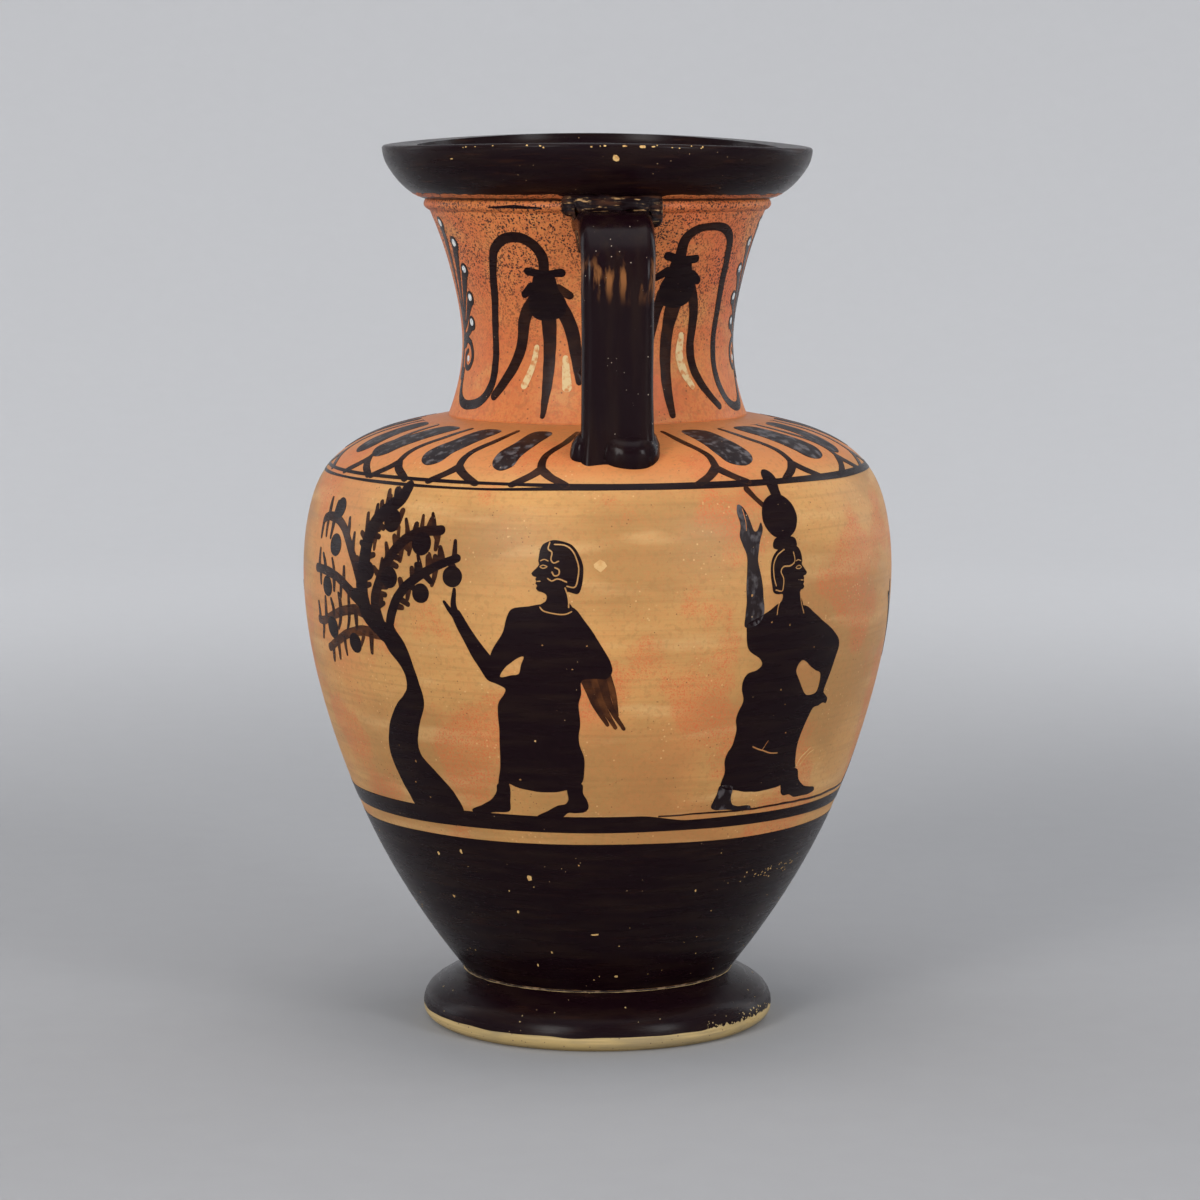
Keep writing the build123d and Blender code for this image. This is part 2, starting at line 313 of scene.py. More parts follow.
class Mark:
    """One brush mark on an unrolled wall: a filled shape, or a stroke along a spine."""

    def __init__(self, edge, thin=0.0, spine=None, reach=None):
        self.edge = edge
        self.thin = thin
        self.spine = spine
        self.reach = reach

    def covers(self, spots):
        """Which of the spots lie inside the mark."""
        low = self.edge.min(axis=0) - EDGE_STEP
        high = self.edge.max(axis=0) + EDGE_STEP
        chosen = np.all((spots >= low) & (spots <= high), axis=1)
        result = np.zeros(len(spots), bool)
        if chosen.any():
            near = spots[chosen]
            result[chosen] = inside(self.edge, near) if self.spine is None else self.reached(near)
        return result

    def reached(self, spots):
        """Which of the spots lie within the stroke's half width of its spine."""
        result = np.zeros(len(spots), bool)
        for a, b, wide_a, wide_b in zip(self.spine[:-1], self.spine[1:], self.reach[:-1], self.reach[1:]):
            way = b - a
            share = np.clip(((spots - a) @ way) / max(way @ way, 1e-9), 0, 1)
            gap = np.linalg.norm(spots - a - share[:, None] * way, axis=1)
            result |= gap < wide_a + (wide_b - wide_a) * share + 0.02
        return result

    def moved(self, across, flip=1, up=0.0, size=1.0, middle=0.0, base=0.0):
        """The same mark elsewhere: mirrored and scaled about its middle and base, then shifted."""
        def shifted(points):
            return np.stack([
                (points[:, 0] - middle) * flip * size + middle + across,
                (points[:, 1] - base) * size + base + up,
            ], axis=1)
        spine = None if self.spine is None else shifted(self.spine)
        reach = None if self.reach is None else self.reach * size
        return Mark(shifted(self.edge), self.thin, spine, reach)


def inside(edge, spots):
    """Which spots a closed edge winds round."""
    winding = np.zeros(len(spots), int)
    for a, b in zip(edge, np.roll(edge, -1, axis=0)):
        side = (b[0] - a[0]) * (spots[:, 1] - a[1]) - (spots[:, 0] - a[0]) * (b[1] - a[1])
        rising = (a[1] <= spots[:, 1]) & (b[1] > spots[:, 1]) & (side > 0)
        falling = (a[1] > spots[:, 1]) & (b[1] <= spots[:, 1]) & (side < 0)
        winding += rising.astype(int) - falling.astype(int)
    return winding != 0


def shape(*points, thin=0.0):
    """A filled mark with a smooth edge through the points."""
    return Mark(flowing(points, EDGE_STEP, closed=True), thin)


def stroke(points, widths, thin=0.0):
    """A brush stroke through the points, its width going through the given widths."""
    spine = flowing(points, EDGE_STEP)
    steps = np.concatenate([[0.0], np.cumsum(np.linalg.norm(np.diff(spine, axis=0), axis=1))])
    widths = widths if isinstance(widths, (list, tuple)) else [widths]
    reach = np.interp(steps / steps[-1], np.linspace(0, 1, len(widths)), widths) / 2
    way = np.gradient(spine, axis=0)
    way /= np.linalg.norm(way, axis=1)[:, None]
    side = np.stack([-way[:, 1], way[:, 0]], axis=1)
    left = spine + side * reach[:, None]
    right = (spine - side * reach[:, None])[::-1]
    caps = []
    for centre, radius, heading in ((spine[-1], reach[-1], way[-1]), (spine[0], reach[0], -way[0])):
        start = math.atan2(heading[1], heading[0]) + math.pi / 2
        count = max(2, math.ceil(math.pi * radius / EDGE_STEP))
        turns = [start - math.pi * k / count for k in range(1, count)]
        caps.append(np.array([centre + radius * np.array([math.cos(t), math.sin(t)]) for t in turns]))
    return Mark(np.concatenate([left, caps[0], right, caps[1]]), thin, spine, reach)


def dot(across, up, radius, thin=0.0):
    """A round dab of the brush."""
    count = max(8, math.ceil(TURN * radius / EDGE_STEP))
    turns = np.arange(count) * TURN / count
    edge = np.stack([across + radius * np.cos(turns), up + radius * np.sin(turns)], axis=1)
    return Mark(edge, thin)


def flake(across, up, wide, tall=None):
    """A small ragged spot."""
    tall = tall or wide
    count = 9
    edge = []
    for k in range(count):
        turn = TURN * k / count
        reach = random.uniform(0.55, 1.1) / 2
        edge.append((across + wide * reach * math.cos(turn), up + tall * reach * math.sin(turn)))
    return Mark(np.array(edge))


def skin_mesh(name, place, marks, gaps, lift, root):
    """A thin skin over the marks, less the gaps, with a skirt down into the wall."""
    points = []
    edges = []
    for mark in marks + gaps:
        first = len(points)
        count = len(mark.edge)
        points.extend(mark.edge.tolist())
        edges.extend((first + k, first + (k + 1) % count) for k in range(count))
    cloud = np.array(points)
    low = cloud.min(axis=0)
    high = cloud.max(axis=0)
    columns = np.arange(low[0], high[0], PAINT_GRID)
    rows = np.arange(low[1], high[1], PAINT_GRID)
    grid = np.array([(x + (k % 2) * PAINT_GRID / 2, y) for k, y in enumerate(rows) for x in columns])
    if len(grid):
        wanted = np.zeros(len(grid), bool)
        for mark in marks:
            wanted |= mark.covers(grid)
        points.extend(grid[wanted].tolist())
    found = delaunay_2d_cdt([Vector(p) for p in points], edges, [], 0, 1e-5, False)
    flat = np.array([tuple(v) for v in found[0]])
    faces = np.array([f for f in found[2] if len(f) == 3])
    centres = flat[faces].mean(axis=1)
    kept = np.zeros(len(faces), bool)
    thin = np.full(len(faces), 9.0)
    for mark in marks:
        covered = mark.covers(centres)
        kept |= covered
        thin[covered] = np.minimum(thin[covered], mark.thin)
    for gap in gaps:
        kept &= ~gap.covers(centres)
    faces = faces[kept]
    thin = thin[kept]
    return skinned(name, place, flat, faces, thin, lift, root)


def skinned(name, place, flat, faces, thin, lift, root):
    """Lays flat triangles on the wall and adds the skirt round their edges."""
    used, faces = np.unique(faces, return_inverse=True)
    faces = faces.reshape(-1, 3)
    flat = flat[used]
    top = []
    bottom = []
    for across, up in flat:
        spot = Vector((across, up, 0)) / WOBBLE_LENGTH
        across_now = across + EDGE_WOBBLE * noise.noise(spot)
        up_now = up + EDGE_WOBBLE * noise.noise(spot + Vector((31.7, 11.3, 5.1)))
        top.append(place(across_now, up_now, lift(across, up) if callable(lift) else lift))
        bottom.append(place(across_now, up_now, root))
    sides = {}
    for index, face in enumerate(faces):
        for k in range(3):
            a, b = int(face[k]), int(face[(k + 1) % 3])
            sides.setdefault((min(a, b), max(a, b)), []).append((a, b, index))
    border = [side[0] for side in sides.values() if len(side) == 1]
    skirt_points = sorted({p for a, b, _ in border for p in (a, b)})
    below = {p: len(flat) + k for k, p in enumerate(skirt_points)}
    vertices = top + [bottom[p] for p in skirt_points]
    polygons = [tuple(int(c) for c in face) for face in faces]
    polygons += [(b, a, below[a], below[b]) for a, b, _ in border]
    values = list(thin) + [thin[index] for _, _, index in border]
    mesh = bpy.data.meshes.new(name)
    mesh.from_pydata([tuple(v) for v in vertices], [], polygons)
    mesh.attributes.new("thin", "FLOAT", "FACE").data.foreach_set("value", [float(v) for v in values])
    lay_uv(mesh, flat, skirt_points)
    make_outward(mesh, vertices, len(faces))
    mesh.polygons.foreach_set("use_smooth", [True] * len(mesh.polygons))
    rim = {(min(a, b), max(a, b)) for a, b, _ in border}
    for edge in mesh.edges:
        if tuple(sorted(edge.vertices)) in rim:
            edge.use_edge_sharp = True
    mesh.update()
    return mesh


def lay_uv(mesh, flat, skirt_points):
    """The flat layout as the map that the finish is baked to."""
    low = flat.min(axis=0)
    span = max((flat.max(axis=0) - low).max(), 1e-6)
    layout = [((x - low[0]) / span, (y - low[1]) / span) for x, y in flat]
    layout += [layout[p] for p in skirt_points]
    unwrap = mesh.uv_layers.new(name="OFBake")
    for loop in mesh.loops:
        unwrap.data[loop.index].uv = layout[loop.vertex_index]


def make_outward(mesh, vertices, tops):
    """Turns all faces over if the skin's top looks into the vase."""
    mesh.update()
    outward = 0.0
    for polygon in mesh.polygons[:tops]:
        centre = polygon.center
        outward += polygon.normal.dot(Vector((centre.x, centre.y, 0)).normalized() + Vector((0, 0, 0.3)))
    if outward < 0:
        mesh.flip_normals()


def paint(name, place, marks, material, gaps=(), lift=SLIP_LIFT, root=SLIP_ROOT):
    """Marks painted on a wall as one piece."""
    mesh = skin_mesh(name, place, list(marks), list(gaps), lift, root)
    return new_piece(name, mesh, [], material)


def band(name, place, unroll, low, high, material, thin=0.0, lift=SLIP_LIFT):
    """A painted band all the way round, between two unsteady edges."""
    steps = SEGMENTS * 2
    angles = [TURN * k / steps for k in range(steps)]
    edges = [(low(a), high(a)) for a in angles]
    rows = max(2, math.ceil(max(h - l for l, h in edges) / PAINT_GRID) + 1)
    vertices = []
    for angle, (start, stop) in zip(angles, edges):
        heights = [start] + [start + (stop - start) * k / (rows - 1) for k in range(rows)] + [stop]
        lifts = [SLIP_ROOT] + [lift] * rows + [SLIP_ROOT]
        vertices.extend(place(angle * unroll, h, raise_by) for h, raise_by in zip(heights, lifts))
    tall = rows + 2
    polygons = []
    for k in range(steps):
        for row in range(tall - 1):
            ahead = (k + 1) % steps
            here = k * tall + row
            beside = ahead * tall + row
            polygons.append((here, beside, beside + 1, here + 1))
    mesh = bpy.data.meshes.new(name)
    mesh.from_pydata([tuple(v) for v in vertices], [], polygons)
    mesh.attributes.new("thin", "FLOAT", "FACE").data.foreach_set("value", [thin] * len(polygons))
    unwrap = mesh.uv_layers.new(name="OFBake")
    for polygon in mesh.polygons:
        k, row = divmod(polygon.index, tall - 1)
        corners = ((k, row), (k + 1, row), (k + 1, row + 1), (k, row + 1))
        for loop, (step, level) in zip(polygon.loop_indices, corners):
            unwrap.data[loop].uv = (step / steps, level / (tall - 1))
    make_outward(mesh, vertices, len(polygons))
    mesh.polygons.foreach_set("use_smooth", [True] * len(polygons))
    for edge in mesh.edges:
        rows_here = {v % tall for v in edge.vertices}
        if rows_here in ({1}, {tall - 2}):
            edge.use_edge_sharp = True
    mesh.update()
    return new_piece(name, mesh, [], material)


# ---------------------------------------------------------------- materials

SLIP_BLACK = (0.0078, 0.0024, 0.0038, 1)
SLIP_BROWN_BLACK = (0.0135, 0.0060, 0.0052, 1)
SLIP_DILUTE = (0.125, 0.042, 0.013, 1)
CLAY_BUFF = (0.560, 0.296, 0.096, 1)
CLAY_RUDDY = (0.58, 0.212, 0.068, 1)
CLAY_ORANGE = (0.63, 0.205, 0.058, 1)
CLAY_RED = (0.57, 0.125, 0.042, 1)
CLAY_SHADE = (0.31, 0.163, 0.054, 1)
CLAY_PALE = (0.68, 0.42, 0.175, 1)
FOOT_GOLD = (0.50, 0.36, 0.155, 1)
SEAM_PALE = (0.22, 0.145, 0.09, 1)
FRIEZE_SPOT = (0.12, 0.05, 0.022, 1)
NECK_PALE = (0.62, 0.29, 0.090, 1)
NECK_MOTTLE = (0.36, 0.115, 0.042, 1)
NECK_SPRINKLE = (0.045, 0.016, 0.011, 1)
NECK_SPOT = (0.09, 0.035, 0.018, 1)
FOOT_GREY = (0.36, 0.27, 0.14, 1)
FOOT_STREAK = (0.62, 0.45, 0.21, 1)
FOOT_DIRT = (0.13, 0.08, 0.05, 1)
SLIP_SCUFF = (0.155, 0.14, 0.145, 1)
SLIP_SPECK = (0.50, 0.32, 0.17, 1)
STRAP_STREAK = (0.22, 0.085, 0.028, 1)
STRAP_SPECK = (0.45, 0.36, 0.28, 1)
WAD_BLACK = (0.008, 0.0035, 0.0045, 1)
WAD_BROWN = (0.055, 0.021, 0.011, 1)
WAD_OCHRE = (0.52, 0.30, 0.13, 1)
SEAM_DARK = (0.03, 0.018, 0.014, 1)
CLAY_GLEAM = 0.22         # specular levels
SLIP_GLEAM = 0.09


class Shader:
    """Builds the nodes of one material, in metres on the vase itself."""

    def __init__(self, name):
        self.material = bpy.data.materials.new(name)
        self.material.use_nodes = True
        self.tree = self.material.node_tree
        self.surface = self.tree.nodes["Principled BSDF"]
        self.place = self.node("ShaderNodeTexCoord").outputs["Object"]

    def node(self, kind, inputs=None, **settings):
        made = self.tree.nodes.new(kind)
        for key, value in settings.items():
            setattr(made, key, value)
        for key, value in (inputs or {}).items():
            if isinstance(value, bpy.types.NodeSocket):
                self.tree.links.new(value, made.inputs[key])
            else:
                made.inputs[key].default_value = value
        return made

    def stretched(self, stretch, offset=(0, 0, 0)):
        settings = {"Vector": self.place, "Scale": stretch, "Location": offset}
        return self.node("ShaderNodeMapping", settings).outputs[0]

    def noise(self, scale, detail=3.0, stretch=(1, 1, 1), offset=(0, 0, 0)):
        settings = {"Vector": self.stretched(stretch, offset), "Scale": scale, "Detail": detail}
        return self.node("ShaderNodeTexNoise", settings).outputs["Fac"]

    def specks(self, scale, size, stretch=(1, 1, 1), offset=(0, 0, 0)):
        """Small separate spots: 1 inside, 0 outside. Size is a share of their spacing."""
        settings = {"Vector": self.stretched(stretch, offset), "Scale": scale}
        cells = self.node("ShaderNodeTexVoronoi", settings)
        return self.between(cells.outputs["Distance"], size, size * 0.6)

    def between(self, value, low, high):
        """0 at low, 1 at high, smooth in between and flat beyond."""
        settings = {"Value": value, "From Min": low, "From Max": high}
        return self.node("ShaderNodeMapRange", settings, interpolation_type="SMOOTHSTEP").outputs[0]

    def scaled(self, value, low, high):
        """A share from 0 to 1 turned into a number from low to high."""
        return self.node("ShaderNodeMapRange", {"Value": value, "To Min": low, "To Max": high}).outputs[0]

    def math(self, operation, first, second):
        return self.node("ShaderNodeMath", {0: first, 1: second}, operation=operation).outputs[0]

    def mix(self, share, first, second):
        return self.node("ShaderNodeMixRGB", {"Fac": share, "Color1": first, "Color2": second}).outputs[0]

    def tinted(self, colour, share, most, tint):
        """The colour with a share, at most so much, of a tint."""
        return self.mix(self.scaled(share, 0.0, most), colour, tint)

    def height(self):
        return self.node("ShaderNodeSeparateXYZ", {"Vector": self.place}).outputs["Z"]

    def attribute(self, name):
        return self.node("ShaderNodeAttribute", attribute_name=name).outputs["Fac"]

    def finish(self, colour, roughness, relief, depth, gleam=CLAY_GLEAM):
        """Joins colour, roughness and relief to the surface. Depth is in metres."""
        bump = self.node("ShaderNodeBump", {"Height": relief, "Distance": depth, "Strength": 1.0})
        self.tree.links.new(colour, self.surface.inputs["Base Color"])
        self.tree.links.new(roughness, self.surface.inputs["Roughness"])
        self.tree.links.new(bump.outputs[0], self.surface.inputs["Normal"])
        self.surface.inputs["Specular IOR Level"].default_value = gleam
        return self.material


def frieze_clay():
    """Buff to orange clay of the picture field, burnished, with ruddy clouds and faint turning streaks."""
    shader = Shader("frieze_clay")
    clouds = shader.between(shader.noise(15, 9), 0.48, 0.62)
    colour = shader.tinted(CLAY_BUFF, clouds, 0.62, CLAY_RUDDY)
    shade = shader.between(shader.noise(11, 8, (1, 1, 1.6), (0.6, 0.2, 0.4)), 0.43, 0.61)
    colour = shader.tinted(colour, shade, 0.64, CLAY_SHADE)
    streaks = shader.between(shader.noise(14, 8, (1, 1, 46)), 0.46, 0.70)
    colour = shader.tinted(colour, streaks, 0.34, CLAY_SHADE)
    pale = shader.between(shader.noise(20, 8, (1, 1, 6), (0.3, 0.1, 0.7)), 0.52, 0.74)
    colour = shader.tinted(colour, pale, 0.5, CLAY_PALE)
    shoulder_rise = shader.between(shader.height(), 0.204, 0.213)
    warm = shader.mix(shader.between(shader.noise(24, 6), 0.40, 0.62), CLAY_ORANGE, CLAY_RUDDY)
    colour = shader.tinted(colour, shoulder_rise, 0.78, warm)
    grain = shader.noise(1700, 3)
    patches = shader.between(shader.noise(24, 10, offset=(0.8, 0.4, 0.1)), 0.53, 0.61)
    colour = shader.tinted(colour, patches, 0.24, CLAY_RED)
    mottle = shader.between(shader.noise(420, 5), 0.46, 0.62)
    colour = shader.tinted(colour, mottle, 0.12, CLAY_RUDDY)
    dimples = shader.between(shader.noise(620, 4, offset=(0.4, 0.4, 0.9)), 0.52, 0.66)
    colour = shader.tinted(colour, dimples, 0.30, CLAY_SHADE)
    coarse = shader.between(grain, 0.46, 0.66)
    ruddy_grain = shader.math("MULTIPLY", coarse, shader.scaled(patches, 0.16, 0.75))
    colour = shader.mix(ruddy_grain, colour, CLAY_RED)
    sparse = shader.between(shader.noise(75, 2, offset=(0.3, 0.9, 0.4)), 0.54, 0.62)
    pale_specks = shader.math("MULTIPLY", shader.specks(470, 0.2), sparse)
    colour = shader.tinted(colour, pale_specks, 0.6, CLAY_PALE)
    few = shader.between(shader.noise(110, 2, offset=(0.1, 0.2, 0.9)), 0.54, 0.62)
    dark = shader.math("MULTIPLY", shader.specks(560, 0.17, offset=(0.2, 0.5, 0.1)), few)
    colour = shader.tinted(colour, dark, 0.75, FRIEZE_SPOT)
    roughness = shader.scaled(shader.noise(60, 4, (1, 1, 4)), 0.34, 0.54)
    relief = shader.math("ADD", shader.noise(40, 3, (1, 1, 14)), shader.scaled(grain, 0.0, 0.3))
    return shader.finish(colour, roughness, relief, 0.00008)


def neck_clay(name, speckled_from, speckled_to):
    """Redder clay, sprinkled with fine black spots towards the top."""
    shader = Shader(name)
    clouds = shader.between(shader.noise(26, 4, offset=(0.4, 0, 0)), 0.42, 0.68)
    colour = shader.tinted(CLAY_ORANGE, clouds, 0.85, CLAY_RED)
    pale = shader.between(shader.noise(38, 6, (1, 1, 2), (0.1, 0.9, 0.2)), 0.5, 0.72)
    colour = shader.tinted(colour, pale, 0.75, NECK_PALE)
    mottle = shader.between(shader.noise(460, 5, offset=(0.3, 0.8, 0.5)), 0.48, 0.64)
    colour = shader.tinted(colour, mottle, 0.4, NECK_MOTTLE)
    grain = shader.noise(1100, 2)
    colour = shader.mix(shader.scaled(shader.between(grain, 0.46, 0.7), 0.0, 0.6), colour, CLAY_RED)
    rise = shader.between(shader.height(), speckled_from * MM, speckled_to * MM)
    patch = shader.between(shader.noise(50, 5, offset=(0.7, 0.3, 0.6)), 0.34, 0.56)
    where = shader.math("MULTIPLY", shader.scaled(rise, 0.05, 1.0), shader.scaled(patch, 0.5, 1.0))
    large = shader.specks(760, 0.42)
    small = shader.specks(1350, 0.46, offset=(0.1, 0.4, 0.8))
    either = shader.math("MAXIMUM", large, small)
    chosen = shader.between(shader.noise(520, 2, offset=(0.9, 0.1, 0.3)), 0.37, 0.46)
    dark = shader.math("MULTIPLY", shader.math("MULTIPLY", either, chosen), where)
    colour = shader.mix(dark, colour, NECK_SPRINKLE)
    few = shader.between(shader.noise(95, 2, offset=(0.6, 0.2, 0.7)), 0.50, 0.57)
    scattered_spots = shader.math("MULTIPLY", shader.specks(480, 0.2, offset=(0.5, 0.2, 0.2)), few)
    colour = shader.tinted(colour, scattered_spots, 0.7, NECK_SPOT)
    roughness = shader.scaled(shader.noise(80, 4, (1, 1, 3)), 0.38, 0.6)
    relief = shader.math("ADD", shader.noise(50, 3, (1, 1, 10)), shader.scaled(grain, 0.0, 0.3))
    return shader.finish(colour, roughness, relief, 0.00008)


def foot_clay():
    """The bare golden edge of the foot, greyed by handling."""
    shader = Shader("foot_clay")
    worn = shader.between(shader.noise(40, 5, (1, 1, 4)), 0.42, 0.66)
    colour = shader.mix(worn, FOOT_GOLD, FOOT_GREY)
    streaks = shader.between(shader.noise(30, 5, (1, 1, 40)), 0.5, 0.66)
    colour = shader.tinted(colour, streaks, 0.6, FOOT_STREAK)
    dirt = shader.specks(420, 0.14)
    colour = shader.mix(dirt, colour, FOOT_DIRT)
    roughness = shader.scaled(shader.noise(90, 3), 0.42, 0.62)
    return shader.finish(colour, roughness, shader.noise(240, 4, (1, 1, 3)), 0.0001)


def gloss(name, speck_size=0.05, brown=0.0, grey=0.0):
    """Black glossy slip: brown where brushed thin, pricked with pale specks, lined by wheel and brush."""
    shader = Shader(name)
    depth = shader.between(shader.noise(45, 5, (1, 1, 7)), 0.40, 0.72)
    colour = shader.mix(depth, SLIP_BLACK, SLIP_BROWN_BLACK)
    thin_share = shader.attribute("thin")
    brush = shader.scaled(shader.between(shader.noise(260, 4), 0.34, 0.66), 0.45, 1.25)
    colour = shader.mix(shader.math("MULTIPLY", thin_share, brush), colour, SLIP_DILUTE)
    if brown:
        rubbed = shader.between(shader.noise(70, 6, (1, 1, 10), (0.2, 0.8, 0.5)), 0.57, 0.72)
        colour = shader.tinted(colour, rubbed, brown, SLIP_DILUTE)
    if grey:
        scuffs = shader.between(shader.noise(330, 6, (1, 1, 0.6)), 0.50, 0.68)
        colour = shader.tinted(colour, scuffs, grey, SLIP_SCUFF)
    specks = shader.specks(300, speck_size, offset=(0.3, 0.3, 0.9))
    chosen = shader.between(shader.noise(40, 3, offset=(0.1, 0.6, 0.2)), 0.48, 0.56)
    colour = shader.mix(shader.math("MULTIPLY", specks, chosen), colour, SLIP_SPECK)
    roughness = shader.scaled(shader.noise(60, 6, (1, 1, 9)), 0.20 + grey * 0.2, 0.36 + grey * 0.3)
    lines = shader.noise(30, 4, (1, 1, 20))
    relief = shader.math("ADD", lines, shader.scaled(shader.noise(420, 3), 0.0, 0.4))
    return shader.finish(colour, roughness, relief, 0.00005, SLIP_GLEAM + grey * 0.2)


def handle_gloss(streak_low, streak_high):
    """Black gloss brushed down the strap, with brown brush ends near the bend."""
    shader = Shader("handle_gloss")
    depth = shader.between(shader.noise(60, 5, (3, 3, 0.4)), 0.42, 0.72)
    colour = shader.mix(depth, SLIP_BLACK, SLIP_BROWN_BLACK)
    hairs = shader.between(shader.noise(230, 6, (1, 1, 0.16)), 0.50, 0.60)
    height = shader.height()
    middle = (streak_low + streak_high) / 2
    below = shader.between(height, streak_low * MM, middle * MM)
    above = shader.between(height, streak_high * MM, middle * MM)
    zone = shader.math("MULTIPLY", below, above)
    colour = shader.mix(shader.math("MULTIPLY", hairs, zone), colour, STRAP_STREAK)
    specks = shader.specks(330, 0.075, offset=(0.4, 0.2, 0.9))
    chosen = shader.between(shader.noise(60, 3, offset=(0.1, 0.6, 0.2)), 0.46, 0.56)
    colour = shader.mix(shader.math("MULTIPLY", specks, chosen), colour, STRAP_SPECK)
    roughness = shader.scaled(shader.noise(160, 4, (1, 1, 0.2)), 0.15, 0.27)
    brushed = shader.noise(110, 4, (1, 1, 0.1))
    relief = shader.math("ADD", brushed, shader.scaled(shader.noise(500, 2), 0.0, 0.25))
    return shader.finish(colour, roughness, relief, 0.0001, SLIP_GLEAM)


def wad_clay():
    """Clay smeared round the handle's root: dark slip over ochre, dragged sideways."""
    shader = Shader("wad_clay")
    drag = shader.between(shader.noise(170, 7, (0.5, 1, 3.0)), 0.50, 0.66)
    colour = shader.mix(drag, WAD_BLACK, WAD_BROWN)
    ridges = shader.between(shader.noise(520, 7, (0.22, 1, 2.2), (0.2, 0.1, 0.4)), 0.55, 0.63)
    broken = shader.between(shader.noise(330, 4, offset=(0.5, 0.7, 0.1)), 0.44, 0.60)
    scratches = shader.math("MULTIPLY", ridges, broken)
    colour = shader.tinted(colour, scratches, 0.85, WAD_OCHRE)
    roughness = shader.scaled(drag, 0.36, 0.66)
    return shader.finish(colour, roughness, shader.noise(330, 7, (0.4, 1, 2.2)), 0.0007, SLIP_GLEAM)


def dusty_paint(name, colour, worn_to, scale):
    """Matt added colour, rubbed so that the ground shows through."""
    shader = Shader(name)
    rubbed = shader.between(shader.noise(scale, 5), 0.48, 0.66)
    mixed = shader.mix(rubbed, colour, worn_to)
    roughness = shader.scaled(shader.noise(scale * 2, 2), 0.6, 0.8)
    return shader.finish(mixed, roughness, shader.noise(900, 3), 0.0001)


def seam_slip():
    """The crumbling pale line where body and foot were luted together."""
    shader = Shader("seam_slip")
    crumbs = shader.between(shader.noise(300, 6), 0.50, 0.64)
    colour = shader.mix(crumbs, SEAM_DARK, SEAM_PALE)
    roughness = shader.scaled(crumbs, 0.45, 0.8)
    return shader.finish(colour, roughness, shader.noise(500, 4), 0.0004)


PAPER_NEAR = 0.35         # metres from the vase's axis, where the painted shade on the paper starts to fade
PAPER_FAR = 1.5           # and where it has faded out, leaving the paper palest


def studio_paper():
    """Matt paper with a barely seen tooth. Its grey near the vase is painted shade, which grades out to
    pale paper behind it.
    """
    shader = Shader("studio_paper")
    away = shader.node("ShaderNodeVectorMath", {0: shader.place}, operation="LENGTH").outputs["Value"]
    # painted shade: the paper's colour is darker grey near the vase and paler far from it, standing in for
    # the light's fall-off
    painted_shade_fade = shader.between(away, PAPER_NEAR, PAPER_FAR)
    tooth = shader.noise(60, 4)
    near = shader.mix(tooth, (0.345, 0.345, 0.352, 1), (0.365, 0.365, 0.372, 1))
    far = shader.mix(tooth, (0.67, 0.67, 0.675, 1), (0.69, 0.69, 0.695, 1))
    colour = shader.mix(painted_shade_fade, near, far)
    return shader.finish(colour, shader.scaled(tooth, 0.85, 0.95), tooth, 0.0001)


# ---------------------------------------------------------------- painting: the frieze

GROUND_LOW = 84.2
GROUND_HIGH = 90.3
RESERVED_LOW = 79.6
INCISION = 0.5
FINE_INCISION = 0.38


def cut(*points, width=INCISION):
    """An incised line through the black, down to the clay."""
    return stroke(points, width)


KNOB_STEP = 3.6           # between the short side shoots of a bough
KNOB_LENGTH = (3.0, 4.8)  # ranges to draw from
TWIG_LENGTH = (4.6, 6.6)
TWIG_LEAN = (-2.6, 0.4)
TWIG_WIDTH = (1.9, 2.6)


